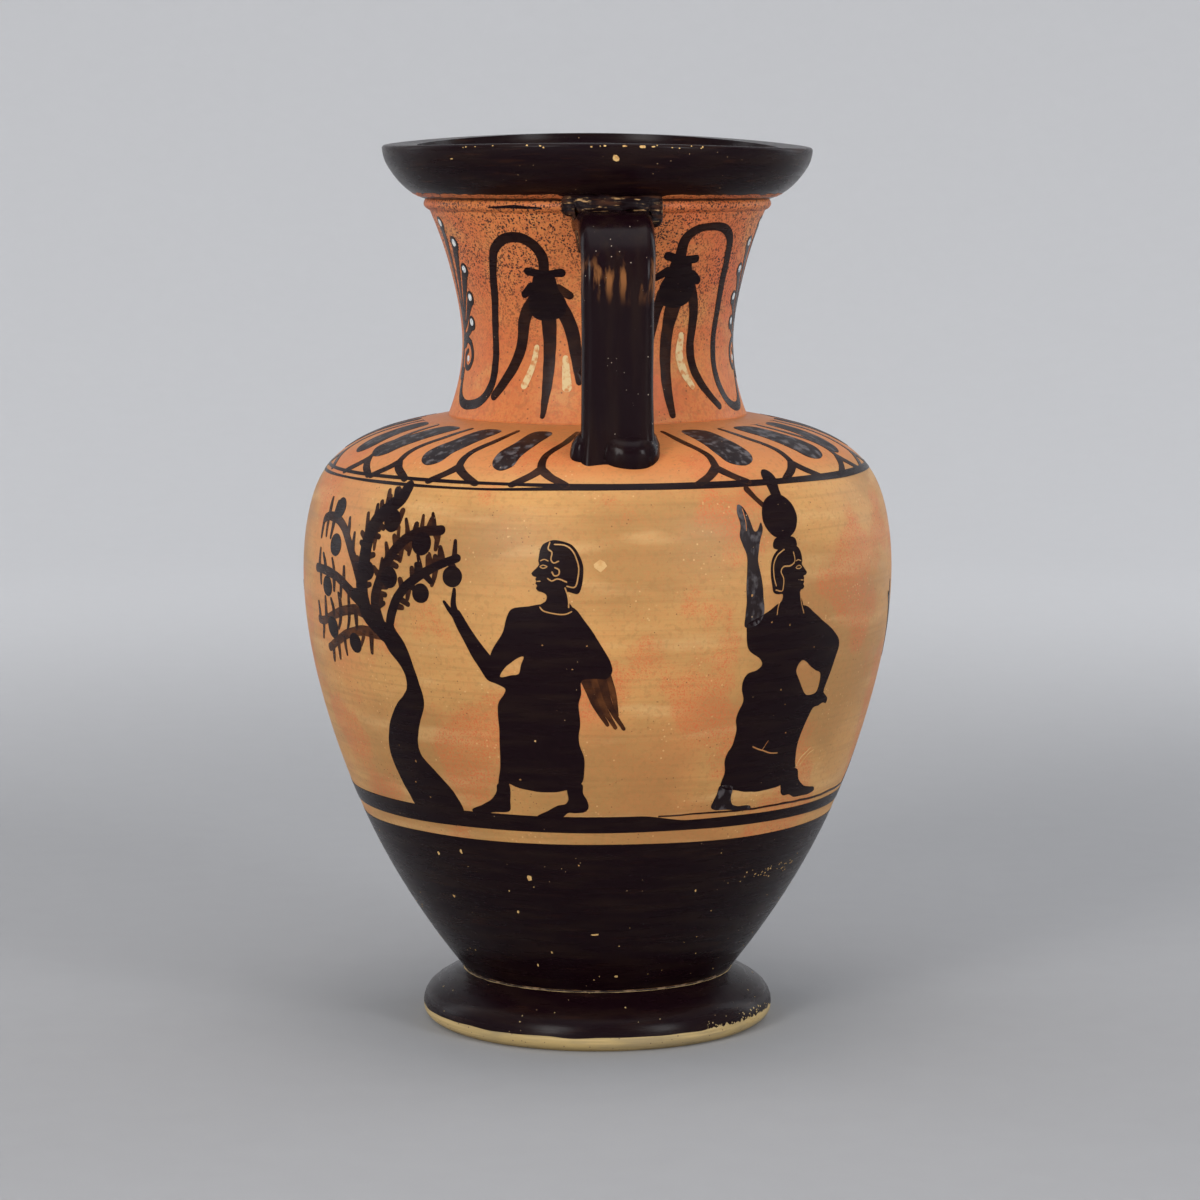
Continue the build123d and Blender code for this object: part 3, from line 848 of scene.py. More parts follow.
def fruit_tree():
    """A tree with a bowed trunk, seven spreading branches, twigs and round fruit."""
    trunk = shape(
        (-89.5, 89.5), (-92, 94), (-94.5, 100), (-96, 105), (-96.3, 110), (-94.5, 116), (-91, 122),
        (-86, 128),
        (-82, 131.5), (-80.2, 134), (-80, 138), (-82, 142), (-86, 146), (-89, 150), (-93, 153),
        (-88, 156),
        (-84, 158), (-83, 155), (-79, 150), (-76.5, 144), (-74.5, 137), (-73.2, 131), (-74, 127),
        (-77, 121),
        (-79.5, 115), (-79.5, 110), (-76, 106), (-71, 101), (-67, 96), (-65, 89.5),
    )
    boughs = [
        (((-97, 163), (-101, 172), (-106, 180), (-112, 187), (-118, 190), (-125, 190.5),
        (-129, 189.5)), 3.2, 0.2),
        (((-95, 160), (-101, 163), (-108, 167), (-115, 170), (-125, 171.5), (-132, 171.5)), 3.2, 0.1),
        (((-92, 156), (-96, 158), (-103, 159.5), (-112, 158), (-120, 155.5), (-128, 153),
        (-132, 153)), 3.0, 0.45),
        (((-88, 152), (-92, 152), (-98, 152.5), (-107, 151), (-115, 148), (-125, 143.5)), 3.0, 0.55),
        (((-88, 153), (-97, 160), (-99, 168), (-98, 176), (-97, 184), (-94, 191), (-89, 196), (-84, 200),
          (-83, 203)), 5.2, 0.0),
        (((-90, 156), (-92, 164), (-89, 172), (-86, 178), (-80, 185), (-72, 189), (-64, 190)), 3.4, 0.05),
        (((-85, 157), (-84, 160), (-81, 166), (-76, 171), (-70, 175), (-63, 178.5),
        (-57, 181)), 2.9, 0.0),
    ]
    marks = [trunk]
    marks += [stroke(points, [width * 1.35, width * 1.15, width], thin) for points, width, thin in boughs]
    fruits = [
        (-117, 181, 4), (-118, 194, 3.6), (-122.5, 166, 3.7), (-103, 165, 2.3), (-120, 151.5, 4),
        (-105, 147.5, 3.6),
        (-96, 174, 3.5), (-86, 192, 4), (-71.5, 185, 4), (-85, 172.5, 3.8), (-58.5, 174.5, 3.7),
        (-71, 168, 3.5),
    ]
    marks += [dot(*fruit) for fruit in fruits]
    rising = [
        (-126, 191), (-109, 185.5), (-105, 180.5), (-121, 191), (-130, 172), (-124, 172), (-117, 171),
        (-110, 168.5),
        (-131, 153.8), (-125, 155), (-118, 156.5), (-112.5, 158), (-107, 159), (-98, 187),
        (-94.5, 192), (-90, 197),
        (-96, 180), (-77.5, 186.5), (-72, 189.5), (-67, 190.5), (-82, 183.5), (-86, 179), (-89, 174),
        (-71, 175),
        (-67, 177), (-62.5, 179), (-58, 181),
    ]
    hanging = [
        (-130, 189), (-126, 189.5), (-121, 189.5), (-128.5, 171), (-117, 170), (-112, 168), (-103, 158.5),
        (-107, 158.5), (-113, 157), (-128, 152.5), (-95, 151.5), (-99, 152), (-112, 148.5),
        (-117, 146), (-122, 144),
        (-65, 189.5), (-76, 186.5), (-80, 184), (-65, 177), (-76, 170.5), (-82, 195.5), (-93, 187),
    ]
    for spots, way in ((rising, 1), (hanging, -1)):
        for across, up in spots:
            length = way * random.uniform(*TWIG_LENGTH)
            lean = random.uniform(*TWIG_LEAN)
            width = random.uniform(*TWIG_WIDTH)
            middle = (across + lean * 0.35, up + length * 0.5)
            points = ((across, up), middle, (across + lean, up + length))
            marks.append(stroke(points, [width, width * 0.85, width * 0.6], random.uniform(0.05, 0.4)))
    for points, _, _ in boughs[4:]:
        spine = flowing(points, KNOB_STEP)
        for spot, ahead in zip(spine[2:-1], spine[3:]):
            way = (ahead - spot) / np.linalg.norm(ahead - spot)
            side = np.array((-way[1], way[0])) * random.choice((-1, 1))
            tip = spot + side * random.uniform(*KNOB_LENGTH) + way * 1.4
            marks.append(stroke((spot, tip), [2.8, 2.0], random.uniform(0.0, 0.35)))
    chips = [
        flake(-83, 107, 0.7, 1.4), flake(-86, 99, 0.9), flake(-80, 94, 1.1, 0.7), flake(-90, 112, 0.6),
    ]
    return marks, chips


def picking_woman():
    """A draped woman in short hair, facing left, who reaches for the fruit and trails a hand behind."""
    head = shape(
        (-26.8, 186.6), (-27.7, 184.6), (-28.1, 182.6), (-28.3, 181), (-28.0, 179.8), (-29.1, 178.2),
        (-30.4, 176.6), (-29.7, 175.7), (-28.7, 175.5), (-29.1, 174.8), (-28.7, 174.1), (-29.0, 173.3),
        (-28.4, 172.6), (-28.8, 171.6), (-28.0, 170.7), (-26.6, 170.3), (-25.3, 169.4), (-25.4, 167.5),
        (-27.8, 165.6), (-22, 163), (-16.8, 165), (-18.2, 167.6), (-18.6, 170.6), (-16.8, 170.3),
        (-14.9, 170.1),
        (-13.6, 173), (-13.2, 177), (-13.4, 180.4), (-14.7, 183.6), (-17.2, 186.4), (-20.6, 187.7),
        (-24, 188),
    )
    dress = shape(
        (-27.5, 166.2), (-31, 165.6), (-37, 164.5), (-38.8, 161.5), (-40.6, 156), (-44.2, 150),
        (-46.4, 144),
        (-46.8, 139.5), (-43.6, 138), (-40.5, 136.4), (-41, 134.5), (-43.5, 131), (-43.8, 127),
        (-44, 121),
        (-44.6, 114), (-45.2, 108), (-46.5, 103), (-46.6, 100.8), (-42.5, 101.8), (-40, 101), (-36, 100),
        (-30, 99.3), (-25, 99.3), (-21, 100.2), (-16.5, 101), (-14.2, 103.5), (-13.3, 109), (-13.6, 113),
        (-15, 117), (-15.2, 120), (-14.6, 124), (-15, 131), (-14.2, 135), (-13.8, 139.8), (-10, 140.5),
        (-5.2, 140.8), (-3.5, 143), (-4, 146), (-6, 150), (-9, 155), (-12, 160), (-15, 164),
        (-17.5, 165.8),
    )
    forearm = stroke(((-44.5, 142), (-48.5, 147.5), (-53, 154.5), (-57, 161.5)), [7, 5.6, 4.6, 3.6])
    finger = stroke(((-56.6, 160), (-58, 164.5), (-57.8, 170.2)), [3.0, 2.1, 1.2])
    thumb = stroke(((-57, 160.5), (-59.6, 163.2), (-61.6, 165.8)), [2.4, 1.8, 1.1])
    left_foot = shape(
        (-47.2, 101.5), (-48, 98.8), (-50.5, 96), (-55, 93.5), (-60.5, 91), (-59.5, 89.9), (-54, 90),
        (-50, 90.9),
        (-46, 91.1), (-43.6, 92), (-43, 95), (-43, 102.5),
    )
    right_foot = shape(
        (-19.9, 101), (-19.8, 97), (-20.8, 95.3), (-24, 94.3), (-28, 92.4), (-32.5, 90.2),
        (-31, 89.6), (-23, 89.9),
        (-20, 91.8), (-17, 91.6), (-13.5, 92.2), (-12, 94), (-12.5, 96.5), (-14, 99), (-14.4, 102.5),
    )
    trailing = [
        stroke(((-13.2, 141.5), (-9, 131), (-5, 124.2)), [3.2, 2.6, 1.3], 0.35),
        stroke(((-10.4, 141.5), (-6.4, 130.5), (-2.2, 123)), [3.2, 2.4, 1.3], 0.55),
        stroke(((-7.4, 141.5), (-4, 130.5), (0.6, 122.6)), [3.2, 2.2, 1.3], 0.3),
        stroke(((-5, 141.5), (-2.9, 134), (-1.6, 127.5)), [2.6, 2.0, 1.0], 0.6),
    ]
    arm_gap = shape(
        (-33.5, 148), (-35.2, 147.6), (-38, 145.8), (-40.2, 143.8), (-42, 140.6), (-38, 141.2),
        (-35.4, 141.8),
        (-34.4, 145),
    )
    gaps = [
        arm_gap,
        cut((-23, 186.6), (-19, 186.1), (-16.2, 183.6), (-14.9, 180), (-14.9, 176), (-16, 172.4),
            (-18.6, 172.6)),
        cut((-24.6, 187.4), (-25, 185), (-23.7, 184), (-24, 181.5), (-23, 180.4), (-21.4, 181)),
        cut((-22.6, 178.8), (-21.2, 178), (-21.4, 176.4), (-22.8, 176.1), (-23.5, 177.4)),
        cut((-25, 175.2), (-23.7, 174.3), (-22, 175), (-18.6, 174)),
        cut((-27.6, 165.2), (-26.5, 164), (-23, 163.2), (-19, 163), (-17, 163.9)),
        cut((-19.2, 172), (-18.3, 169), (-18, 165.4)),
        cut((-27.7, 179.1), (-26.7, 179.7), (-25.2, 179.1), (-26.7, 178.6),
            (-27.6, 179), width=FINE_INCISION),
        cut((-27.6, 181.1), (-26.3, 181.6), (-24.9, 181.1), width=FINE_INCISION),
        cut((-28.5, 174.1), (-27.4, 174.2), width=FINE_INCISION),
        flake(-38, 103.5, 1.1, 0.7), flake(-17, 144, 0.7), flake(-27, 152, 0.6),
        flake(-12, 152, 0.8, 0.5),
    ]
    return [head, dress, forearm, finger, thumb, left_foot, right_foot] + trailing, gaps


def jar_bearer():
    """A draped woman facing right, one arm raised, one hand on her hip, a round jar on her head."""
    head = shape(
        (64.6, 183.4), (65.9, 181.4), (66.3, 179.4), (66.4, 178.2), (66.1, 177.3), (67.2, 175.7),
        (68.4, 174.2),
        (67.8, 173.4), (66.8, 173.2), (67.1, 172.5), (66.8, 171.8), (67.0, 171.1), (66.5, 170.5),
        (67.0, 169.6),
        (66.4, 168.7), (65.3, 168.3), (65.6, 165.6), (66.4, 163), (61, 160.5), (54.8, 163), (57.2, 165.4),
        (57.4, 167.4), (55.5, 167.5), (53.5, 168.4), (53, 171), (52.5, 175), (52.7, 178.2), (54, 181),
        (56, 182.8),
        (58.5, 183.8), (61.5, 184),
    )
    dress = shape(
        (56, 164.4), (51.5, 161.8), (49.4, 160.8), (43.4, 158), (43.2, 154.5), (44.5, 149.2),
        (46.4, 147.3),
        (49.4, 145.4), (50.4, 143.4), (48.6, 141.6), (45, 140.4), (43.4, 138), (43.2, 135),
        (44.4, 131), (43, 127),
        (42.4, 124), (43.2, 120), (42.5, 115), (40.7, 112), (40.2, 109), (41, 105), (40.3, 100),
        (43, 98.6),
        (47, 98), (52, 97), (58, 96.5), (64, 96.8), (70, 97.7), (74.5, 100), (76.6, 102.6), (75, 106),
        (74, 110),
        (73.9, 113.4), (75, 118), (76.8, 123), (78.4, 125.4), (81, 125.8), (83.4, 126.5), (85.6, 126.2),
        (85.8, 127.8), (84.4, 129), (82.8, 130.4), (83.6, 134), (85.2, 138.6), (86.6, 143), (87.9, 146.5),
        (87, 149.2), (84, 152), (78, 156), (72, 160), (68.5, 162.4), (62, 163.6),
    )
    jar_neck = stroke(((59.5, 200), (59.4, 203), (59.6, 206.5)), [4.4, 4.8, 6.0])
    pad = shape((54.2, 183.6), (59, 182.6), (64.2, 183.4), (64.0, 186.2), (59.5, 187.4), (55, 186.4))
    right_foot = shape(
        (70, 99), (70.8, 96.2), (71.6, 94.4), (73.4, 93.4), (77, 93.4), (80.5, 92.2), (85, 91.9),
        (91, 91.9),
        (94.6, 92.8), (93.6, 94.1), (89.5, 94.9), (85, 95.8), (80.4, 98.6), (77, 103),
    )
    jar_handle = stroke(((47.6, 203.6), (49.8, 200.8), (52.6, 198.2)), [2.4, 1.9, 1.8], 0.2)
    hip_gap = shape(
        (66, 140), (67, 142.4), (68.6, 143.4), (70.6, 142.6), (73, 140.6), (76, 139), (78.8, 137.8),
        (79.3, 134.6),
        (78.2, 130.8), (73.4, 130.4), (70.4, 133), (68, 136.5),
    )
    gaps = [
        hip_gap,
        cut((58.6, 182.8), (55.6, 180.9), (53.8, 178), (53.8, 174), (54.7, 170.6)),
        cut((54.4, 169.2), (57, 168.6), (57.6, 170.4), (57.8, 173), (56.8, 175.4), (58, 177), (61, 177.2),
            (63, 178.4), (62.6, 181.6)),
        cut((57.2, 166.6), (55.6, 163.4), (55.2, 160.4)),
        cut((65.2, 167.6), (65.8, 163.4), (67, 160)),
        cut((66.0, 176.2), (64.9, 176.9), (63.3, 176.2), (64.9, 175.7),
            (65.9, 176.1), width=FINE_INCISION),
        cut((65.9, 178.4), (64.7, 178.9), (63.6, 178.5), width=FINE_INCISION),
        cut((66.6, 171.8), (65.5, 171.9), width=FINE_INCISION),
        cut((51.5, 113.6), (56, 112), (60, 110.6), (64, 110.2)),
        cut((56, 112), (58.2, 115.2), width=FINE_INCISION),
        flake(53, 158, 0.8), flake(61, 156.5, 0.7, 1.0), flake(73.5, 147.5, 0.9, 0.6),
        flake(60, 133.5, 0.8),
        flake(63, 128, 0.6), flake(66, 117.5, 1.0, 0.7),
    ]
    solid = [head, dress, jar_neck, pad, right_foot, dot(58.8, 194, 7.6), jar_handle]
    return solid, gaps


def jar_bearer_worn():
    """Her raised arm and rear foot, where the black is rubbed grey."""
    arm = shape(
        (42.4, 157), (42.6, 161), (43, 165), (42.8, 171), (43.3, 181), (42.2, 185), (41.3, 188.5),
        (42, 192),
        (41.4, 196.6), (42.2, 198.8), (43.6, 198.2), (45.4, 195), (47.2, 189.6), (48.4, 190),
        (50.2, 192.4),
        (50.6, 190.6), (49.2, 187), (48, 183), (47.6, 180), (48, 176.5), (49, 172), (49.4, 167),
        (49.7, 161),
        (47, 157.5),
    )
    foot = shape(
        (40, 100), (39.4, 97), (38.3, 94.5), (37.8, 92.2), (39.4, 91.2), (45, 90.9), (52, 90), (57, 90.3),
        (56.6, 91.2), (50, 91.9), (47.2, 92.8), (46, 95), (45.8, 99.4),
    )
    gaps = [cut((43.6, 197.4), (44.2, 193), (44, 190), width=FINE_INCISION), flake(45, 168, 1.0, 1.3)]
    return [arm, foot], gaps


def moved_all(marks, *place, **how):
    """A whole figure moved along the frieze."""
    return [mark.moved(*place, **how) for mark in marks]


# ---------------------------------------------------------------- painting: the neck and shoulder

def left_lotus():
    """A drooping lotus on a looped stem, left of the front handle."""
    stem = stroke(
        ((-72.5, 240), (-71, 233), (-66, 229.2), (-58, 228.6), (-52, 230.5), (-48, 236), (-47, 245),
        (-47, 256),
         (-45.5, 266), (-43.5, 278), (-41, 284.6), (-36, 288.4), (-30, 288.8), (-25.6, 286.4), (-23, 282),
         (-22.8, 276)),
        [2.6, 3.2, 3.8, 3.4, 3.4, 3.4, 3.6, 3.8], 0.05,
    )
    bars = [
        stroke(((-29, 277), (-23, 276.2), (-16.6, 276.6)), [2.8, 2.2, 3.0]),
        stroke(((-31.4, 268.8), (-28, 271.5)), [2.6, 3.2]),
        stroke(((-18, 271), (-14.2, 268.6)), [3.4, 2.8], 0.2),
    ]
    bulb = shape((-26.5, 276), (-28.4, 270), (-30, 266), (-28.5, 261), (-23, 259.5), (-17, 261.5),
        (-15.4, 266),
                 (-18, 271), (-19.8, 276))
    petals = [
        stroke(((-27.5, 267), (-32.4, 260), (-33.8, 252), (-36, 246), (-41, 238), (-45.5, 232.5)),
               [5.2, 5.0, 4.6, 4.4, 4.0, 3.4], 0.1),
        stroke(((-22.5, 262), (-22.4, 250), (-22.8, 240), (-23.6, 226)), [6.0, 5.0, 4.0, 1.8], 0.14),
        stroke(((-18.4, 266), (-14.4, 258), (-12.6, 250), (-11, 238)), [5.4, 5.2, 4.6, 2.2], 0.08),
    ]
    return [stem, bulb] + bars + petals


def right_lotus():
    """Its companion on the right."""
    stem = stroke(
        ((24.6, 282), (25.5, 288.4), (29, 291.4), (36, 292.6), (42, 291.4), (46, 288), (47.6, 282),
        (48, 272),
         (48.2, 262), (47.2, 252), (47.2, 244), (49, 236), (53, 230), (58, 227.6), (64, 228.4), (68, 233),
         (70, 240)),
        [4.6, 2.8, 3.4, 3.8, 3.4, 3.2, 3.2, 3.4, 2.6], 0.08,
    )
    bars = [
        stroke(((19.8, 282.4), (25.5, 281), (31.2, 281.2)), [3.0, 2.6, 3.0]),
        stroke(((20.6, 277), (16.4, 274.8)), [3.2, 2.4]),
        stroke(((30.8, 275.6), (34, 273.4)), [3.4, 2.8]),
    ]
    bulb = shape((22.4, 281.6), (20.4, 276), (18, 271), (19.4, 265.6), (25, 264), (30.6, 265.8),
        (32.6, 270.6),
                 (31, 276), (28.6, 281.4))
    petals = [
        stroke(((31.2, 271), (34, 264), (34.3, 257), (33.6, 250), (35, 242), (40, 234.5), (46.2, 228.4)),
               [4.6, 4.2, 3.8, 3.8, 3.8, 3.4, 2.8], 0.1),
        stroke(((25, 267), (22.8, 256), (22, 246), (22, 238),
            (22.8, 226.4)), [7.0, 5.0, 4.6, 4.0, 2.6], 0.16),
        stroke(((19.6, 269), (17.6, 262), (16.2, 254), (15.4, 247)), [4.6, 3.6, 2.8, 1.6], 0.1),
    ]
    return [stem, bulb] + bars + petals


def cream_dashes():
    """Cream petals laid between the black ones of both lotuses."""
    return [
        stroke(((-27.6, 250), (-29, 244), (-32.2, 236.6)), [2.0, 2.4, 2.6]),
        stroke(((-16.2, 246.4), (-15.8, 241), (-15.4, 236.4)), [2.2, 3.2, 3.6]),
        stroke(((29, 254), (28.4, 247), (30.6, 240), (33.4, 236)), [2.4, 3.4, 3.2, 2.2]),
    ]


PALMETTE_LEAVES = ((70, 293), (63.4, 286), (61.0, 276.5), (61.2, 266.5), (63.0, 257.5))


def side_palmette(side):
    """Round-tipped leaves on thin stems up the side of the neck, ending in a curled tendril."""
    heart = (74, 254)
    marks = []
    for tip_across, tip_up in PALMETTE_LEAVES:
        bend = ((tip_across + heart[0]) / 2 + 1.5, (tip_up + heart[1]) / 2 - 3)
        points = ((tip_across * side, tip_up), (bend[0] * side, bend[1]), (heart[0] * side, heart[1]))
        marks.append(stroke(points, [4.4, 2.4, 1.4], 0.1))
        marks.append(dot(tip_across * side, tip_up, 2.7))
    curl = ((heart[0], heart[1] + 14), (heart[0] - 1, heart[1]), (72.6, 249), (69, 251.4), (64.6, 249.4),
            (63.4, 245), (66, 241.4), (70, 242), (71, 245.6), (68.4, 247.4))
    marks.append(stroke([(across * side, up) for across, up in curl], [1.6, 2.4, 2.4, 2.2, 1.8], 0.05))
    tail = ((heart[0], heart[1] - 2), (75.5, 244), (74.5, 238))
    marks.append(stroke([(across * side, up) for across, up in tail], [2.2, 2.4, 3.0], 0.1))
    return marks


def palmette_lights(side):
    """White dabs on the leaf tips and in the tendril's eye."""
    lights = [dot(across * side, up + 0.4, 1.35) for across, up in PALMETTE_LEAVES]
    return lights + [dot(67.6 * side, 244.6, 1.1)]


TONGUE_START = 11.5
WEB_REACH = 47.6
HANDLE_CLEAR = 19.0       # bare clay each side of a handle
TONGUE_STEP = 28.6        # from one tongue to the next
TONGUE_WIDTH = (11.5, 13.5)


def tongue(middle, width, lean, reach):
    """One hanging tongue, wider at its end, leaning away from the handle."""
    foot = middle + lean
    return shape(
        (middle - width * 0.40, TONGUE_START), (middle + width * 0.42, TONGUE_START + 0.6),
        (foot * 0.5 + middle * 0.5 + width * 0.50, 24), (foot + width * 0.46, 34),
        (foot + width * 0.32, reach - 2),
        (foot, reach), (foot - width * 0.34, reach - 1.8), (foot - width * 0.48, 34),
        (foot * 0.5 + middle * 0.5 - width * 0.46, 24),
    )


def web(middle, lean, width, thin):
    """The thin rib between two tongues and the fork that joins it to the line below."""
    foot = middle + lean * 1.15
    rib = stroke(
        ((middle, TONGUE_START), (middle + lean * 0.4, 22), (foot, 34), (foot, 42)),
        [width * 0.8, width, width * 0.9, width], thin,
    )
    fork = [width * 1.2, width, width * 0.9]
    left = stroke(((foot, 41), (foot - 3, 44.4), (foot - 8, WEB_REACH + 0.6)), fork, thin)
    right = stroke(((foot, 41), (foot + 3, 44.2), (foot + 8.5, WEB_REACH + 0.6)), fork, thin)
    return [rib, left, right]


def shoulder_side(sign, firsts):
    """The tongues and ribs on one side of the handle's axis, from the front handle to the back one."""
    marks = []
    ribs = []
    half_round = math.pi * SHOULDER_UNROLL
    for middle, width, lean, reach in firsts:
        marks.append(tongue(sign * middle, width, sign * lean, reach))
    last = firsts[-1][0]
    middle = last + TONGUE_STEP
    while middle < half_round - HANDLE_CLEAR - 8:
        width = random.uniform(*TONGUE_WIDTH)
        lean = sign * random.uniform(-1.5, 1.5)
        reach = 40 + random.uniform(-1, 1)
        marks.append(tongue(sign * middle, width, lean, reach))
        middle += TONGUE_STEP
    firsts_middles = [item[0] for item in firsts]
    places = [firsts_middles[0] - TONGUE_STEP / 2 - 1]
    places += [(a + b) / 2 for a, b in zip(firsts_middles, firsts_middles[1:])]
    place = last + TONGUE_STEP / 2
    while place < half_round - HANDLE_CLEAR:
        places.append(place)
        place += TONGUE_STEP
    for number, spot in enumerate(places):
        lean = sign * (7.5 if number < 3 else random.uniform(-1, 2))
        ribs.extend(web(sign * spot, lean, 2.8, 0.2 if number == 0 else 0.08))
    return marks, ribs


# ---------------------------------------------------------------- handles

STRAP_THICKNESS = 8.5
STRAP_EDGE = 3.6
STRAP_BEND = 20.0
STRAP_STEP = 1.5
STRAP_WIDTHS = (1.06, 1.0, 0.985, 0.96, 0.94, 0.935, 0.935, 0.955, 1.03)   # shares of the CAD width
STRAP_GROOVE = 0.14
STRAP_BURIED = 3.0        # how far its foot goes into the wad's wall
STRAP_FLARE = 1.7         # how far its foot leans out
STRAP_FLARE_LENGTH = 16.0
STRAP_BEND_STEPS = 14
STRAP_FLAT_STEPS = 14     # across its flat
STRAP_CORNER_STEPS = 12   # round each edge
STRAP_SWELL = 0.35        # lumps left by the fingers
STRAP_SWELL_LENGTH = 16.0
STRAP_SWAY = 0.5          # how far it wanders sideways
STRAP_SWAY_LENGTH = 22.0


def strap_path(node, wad):
    """The strap's centre line in its own plane: distance from the axis, and height."""
    low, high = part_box(node)
    outer = max(-low.y, high.y) / MM
    inner = min(abs(low.y), abs(high.y)) / MM
    top = high.z / MM - STRAP_THICKNESS / 2
    wad_low, wad_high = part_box(wad)
    foot_out = abs(wad_low.y + wad_high.y) / 2 / MM
    bottom = low.z / MM - STRAP_BURIED
    start = Vector((inner, top))
    corner = Vector((outer - STRAP_THICKNESS / 2 + 0.6, top))
    end = Vector((foot_out, bottom))
    back = (start - corner).normalized()
    down = (end - corner).normalized()
    half = back.angle(down) / 2
    reach = STRAP_BEND / math.tan(half)
    centre = corner + (back + down).normalized() * (STRAP_BEND / math.sin(half))
    first = corner + back * reach - centre
    sweep = math.pi - 2 * half
    bend = []
    for k in range(STRAP_BEND_STEPS + 1):
        turned = Matrix.Rotation(-sweep * k / STRAP_BEND_STEPS, 2) @ first
        bend.append(centre + turned)
    line = [start] + bend
    pieces = math.ceil((end - bend[-1]).length / 5)
    for k in range(1, pieces + 1):
        spot = bend[-1].lerp(end, k / pieces)
        near_foot = max(0.0, 1 - (end - spot).length / STRAP_FLARE_LENGTH)
        line.append(spot + Vector((STRAP_FLARE * near_foot ** 1.5, 0)))
    return flowing([tuple(p) for p in line], STRAP_STEP)


def strap_section(width):
    """The strap's section, across and outwards: rounded edges, and two shallow finger grooves outside."""
    side = width / 2 - STRAP_EDGE
    half = STRAP_THICKNESS / 2
    points = []
    steps = STRAP_FLAT_STEPS
    for k in range(steps + 1):
        across = -side + 2 * side * k / steps
        points.append((across, half - STRAP_GROOVE * (1 - math.cos(TURN * 2 * (k / steps)))))
    for k in range(1, STRAP_CORNER_STEPS):
        turn = math.pi / 2 - math.pi * k / STRAP_CORNER_STEPS
        points.append((side + STRAP_EDGE * math.cos(turn), half * math.sin(turn)))
    for k in range(steps + 1):
        points.append((side - 2 * side * k / steps, -half))
    for k in range(1, STRAP_CORNER_STEPS):
        turn = -math.pi / 2 - math.pi * k / STRAP_CORNER_STEPS
        points.append((-side + STRAP_EDGE * math.cos(turn), half * math.sin(turn)))
    return points


def strap_handle(name, node, wad, facing, material):
    """A flat strap pulled from the neck over to the shoulder.

    Facing is -1 at the front and 1 at the back.
    """
    path = strap_path(node, wad)
    low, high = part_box(node)
    full_width = (high.x - low.x) / MM
    ways = np.gradient(path, axis=0)
    shares = np.linspace(0, 1, len(path))
    widths = np.interp(shares, np.linspace(0, 1, len(STRAP_WIDTHS)), STRAP_WIDTHS) * full_width
    vertices = []
    rings = len(path)
    for index, (spot, way) in enumerate(zip(path, ways)):
        way = way / np.linalg.norm(way)
        out = (-way[1], way[0])
        for across, outwards in strap_section(widths[index]):
            wander = Vector((across, spot[1], facing * 40)) / STRAP_SWELL_LENGTH
            swell = STRAP_SWELL * noise.noise(wander)
            reach = spot[0] + out[0] * (outwards + swell)
            height = spot[1] + out[1] * (outwards + swell)
            sway = STRAP_SWAY * noise.noise(Vector((spot[1] / STRAP_SWAY_LENGTH, facing * 3.3, 0.5)))
            vertices.append(by_hand((across + sway) * -facing, facing * reach, height))
    size = len(vertices) // rings
    polygons = []
    for index in range(rings - 1):
        here = index * size
        after = here + size
        for k in range(size):
            ahead = (k + 1) % size
            polygons.append((here + k, here + ahead, after + ahead, after + k))
    polygons.append(tuple(range(size)))
    polygons.append(tuple((rings - 1) * size + k for k in range(size))[::-1])
    mesh = bpy.data.meshes.new(name)
    mesh.from_pydata([tuple(v) for v in vertices], [], polygons)
    shaped = bmesh.new()
    shaped.from_mesh(mesh)
    bmesh.ops.recalc_face_normals(shaped, faces=shaped.faces)
    for face in shaped.faces:
        face.smooth = True
    shaped.to_mesh(mesh)
    shaped.free()
    return new_piece(name, mesh, [node], material)


WAD_LEFT = 0.44           # shares of the lump's height after pressing
WAD_MIDDLE = 1.13
WAD_RIGHT = 0.66
WAD_SIDE = 13.6           # from its middle to where it is pressed flat
WAD_OUT = 0.62            # share of its bulge left there
WAD_SOFTENING = 14        # passes


def kneaded(name, node, facing, material, voxel=0.7, swell=0.9, length=4.2, drag=2.0):
    """A pressed lump of clay: the CAD solid softened, thinned at both sides and dragged by the thumb."""
    low, high = (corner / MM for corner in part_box(node))
    seat = abs(low.y + high.y) / 2
    rough = bpy.data.objects.new(name + "_rough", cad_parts[node].data.copy())
    bpy.context.scene.collection.objects.link(rough)
    remesh = rough.modifiers.new("remesh", "REMESH")
    remesh.mode = "VOXEL"
    remesh.voxel_size = voxel * MM
    soften = rough.modifiers.new("soften", "SMOOTH")
    soften.iterations = WAD_SOFTENING
    settled = rough.evaluated_get(bpy.context.evaluated_depsgraph_get())
    mesh = bpy.data.meshes.new_from_object(settled)
    bpy.data.objects.remove(rough)
    mesh.name = name
    mesh.materials.clear()
    for vertex in mesh.vertices:
        spot = vertex.co / MM
        push = swell * noise.noise(Vector((spot.x / length / drag, spot.y / length, spot.z / length * 1.6)))
        push += swell * 0.5 * noise.noise(Vector((spot.x / drag, spot.y, spot.z * 1.5)) / 1.8)
        spot = spot + vertex.normal * push
        beside = np.clip(spot.x * -facing / WAD_SIDE, -1, 1)
        kept_height = np.interp(beside, (-1, -0.84, 0.84, 1),
        (WAD_LEFT, WAD_MIDDLE, WAD_MIDDLE, WAD_RIGHT))
        kept_bulge = np.interp(abs(beside), (0.6, 1), (1, WAD_OUT))
        out = abs(spot.y) - seat
        reach = seat + out * (kept_bulge if out > 0 else 1)
        vertex.co = by_hand(spot.x, facing * reach, high.z - (high.z - spot.z) * kept_height)
    mesh.polygons.foreach_set("use_smooth", [True] * len(mesh.polygons))
    return new_piece(name, mesh, [node], material)


ROOT_HEIGHT = 7.4         # the pressed foot of the strap on the shoulder
ROOT_ROUNDING = 6.5


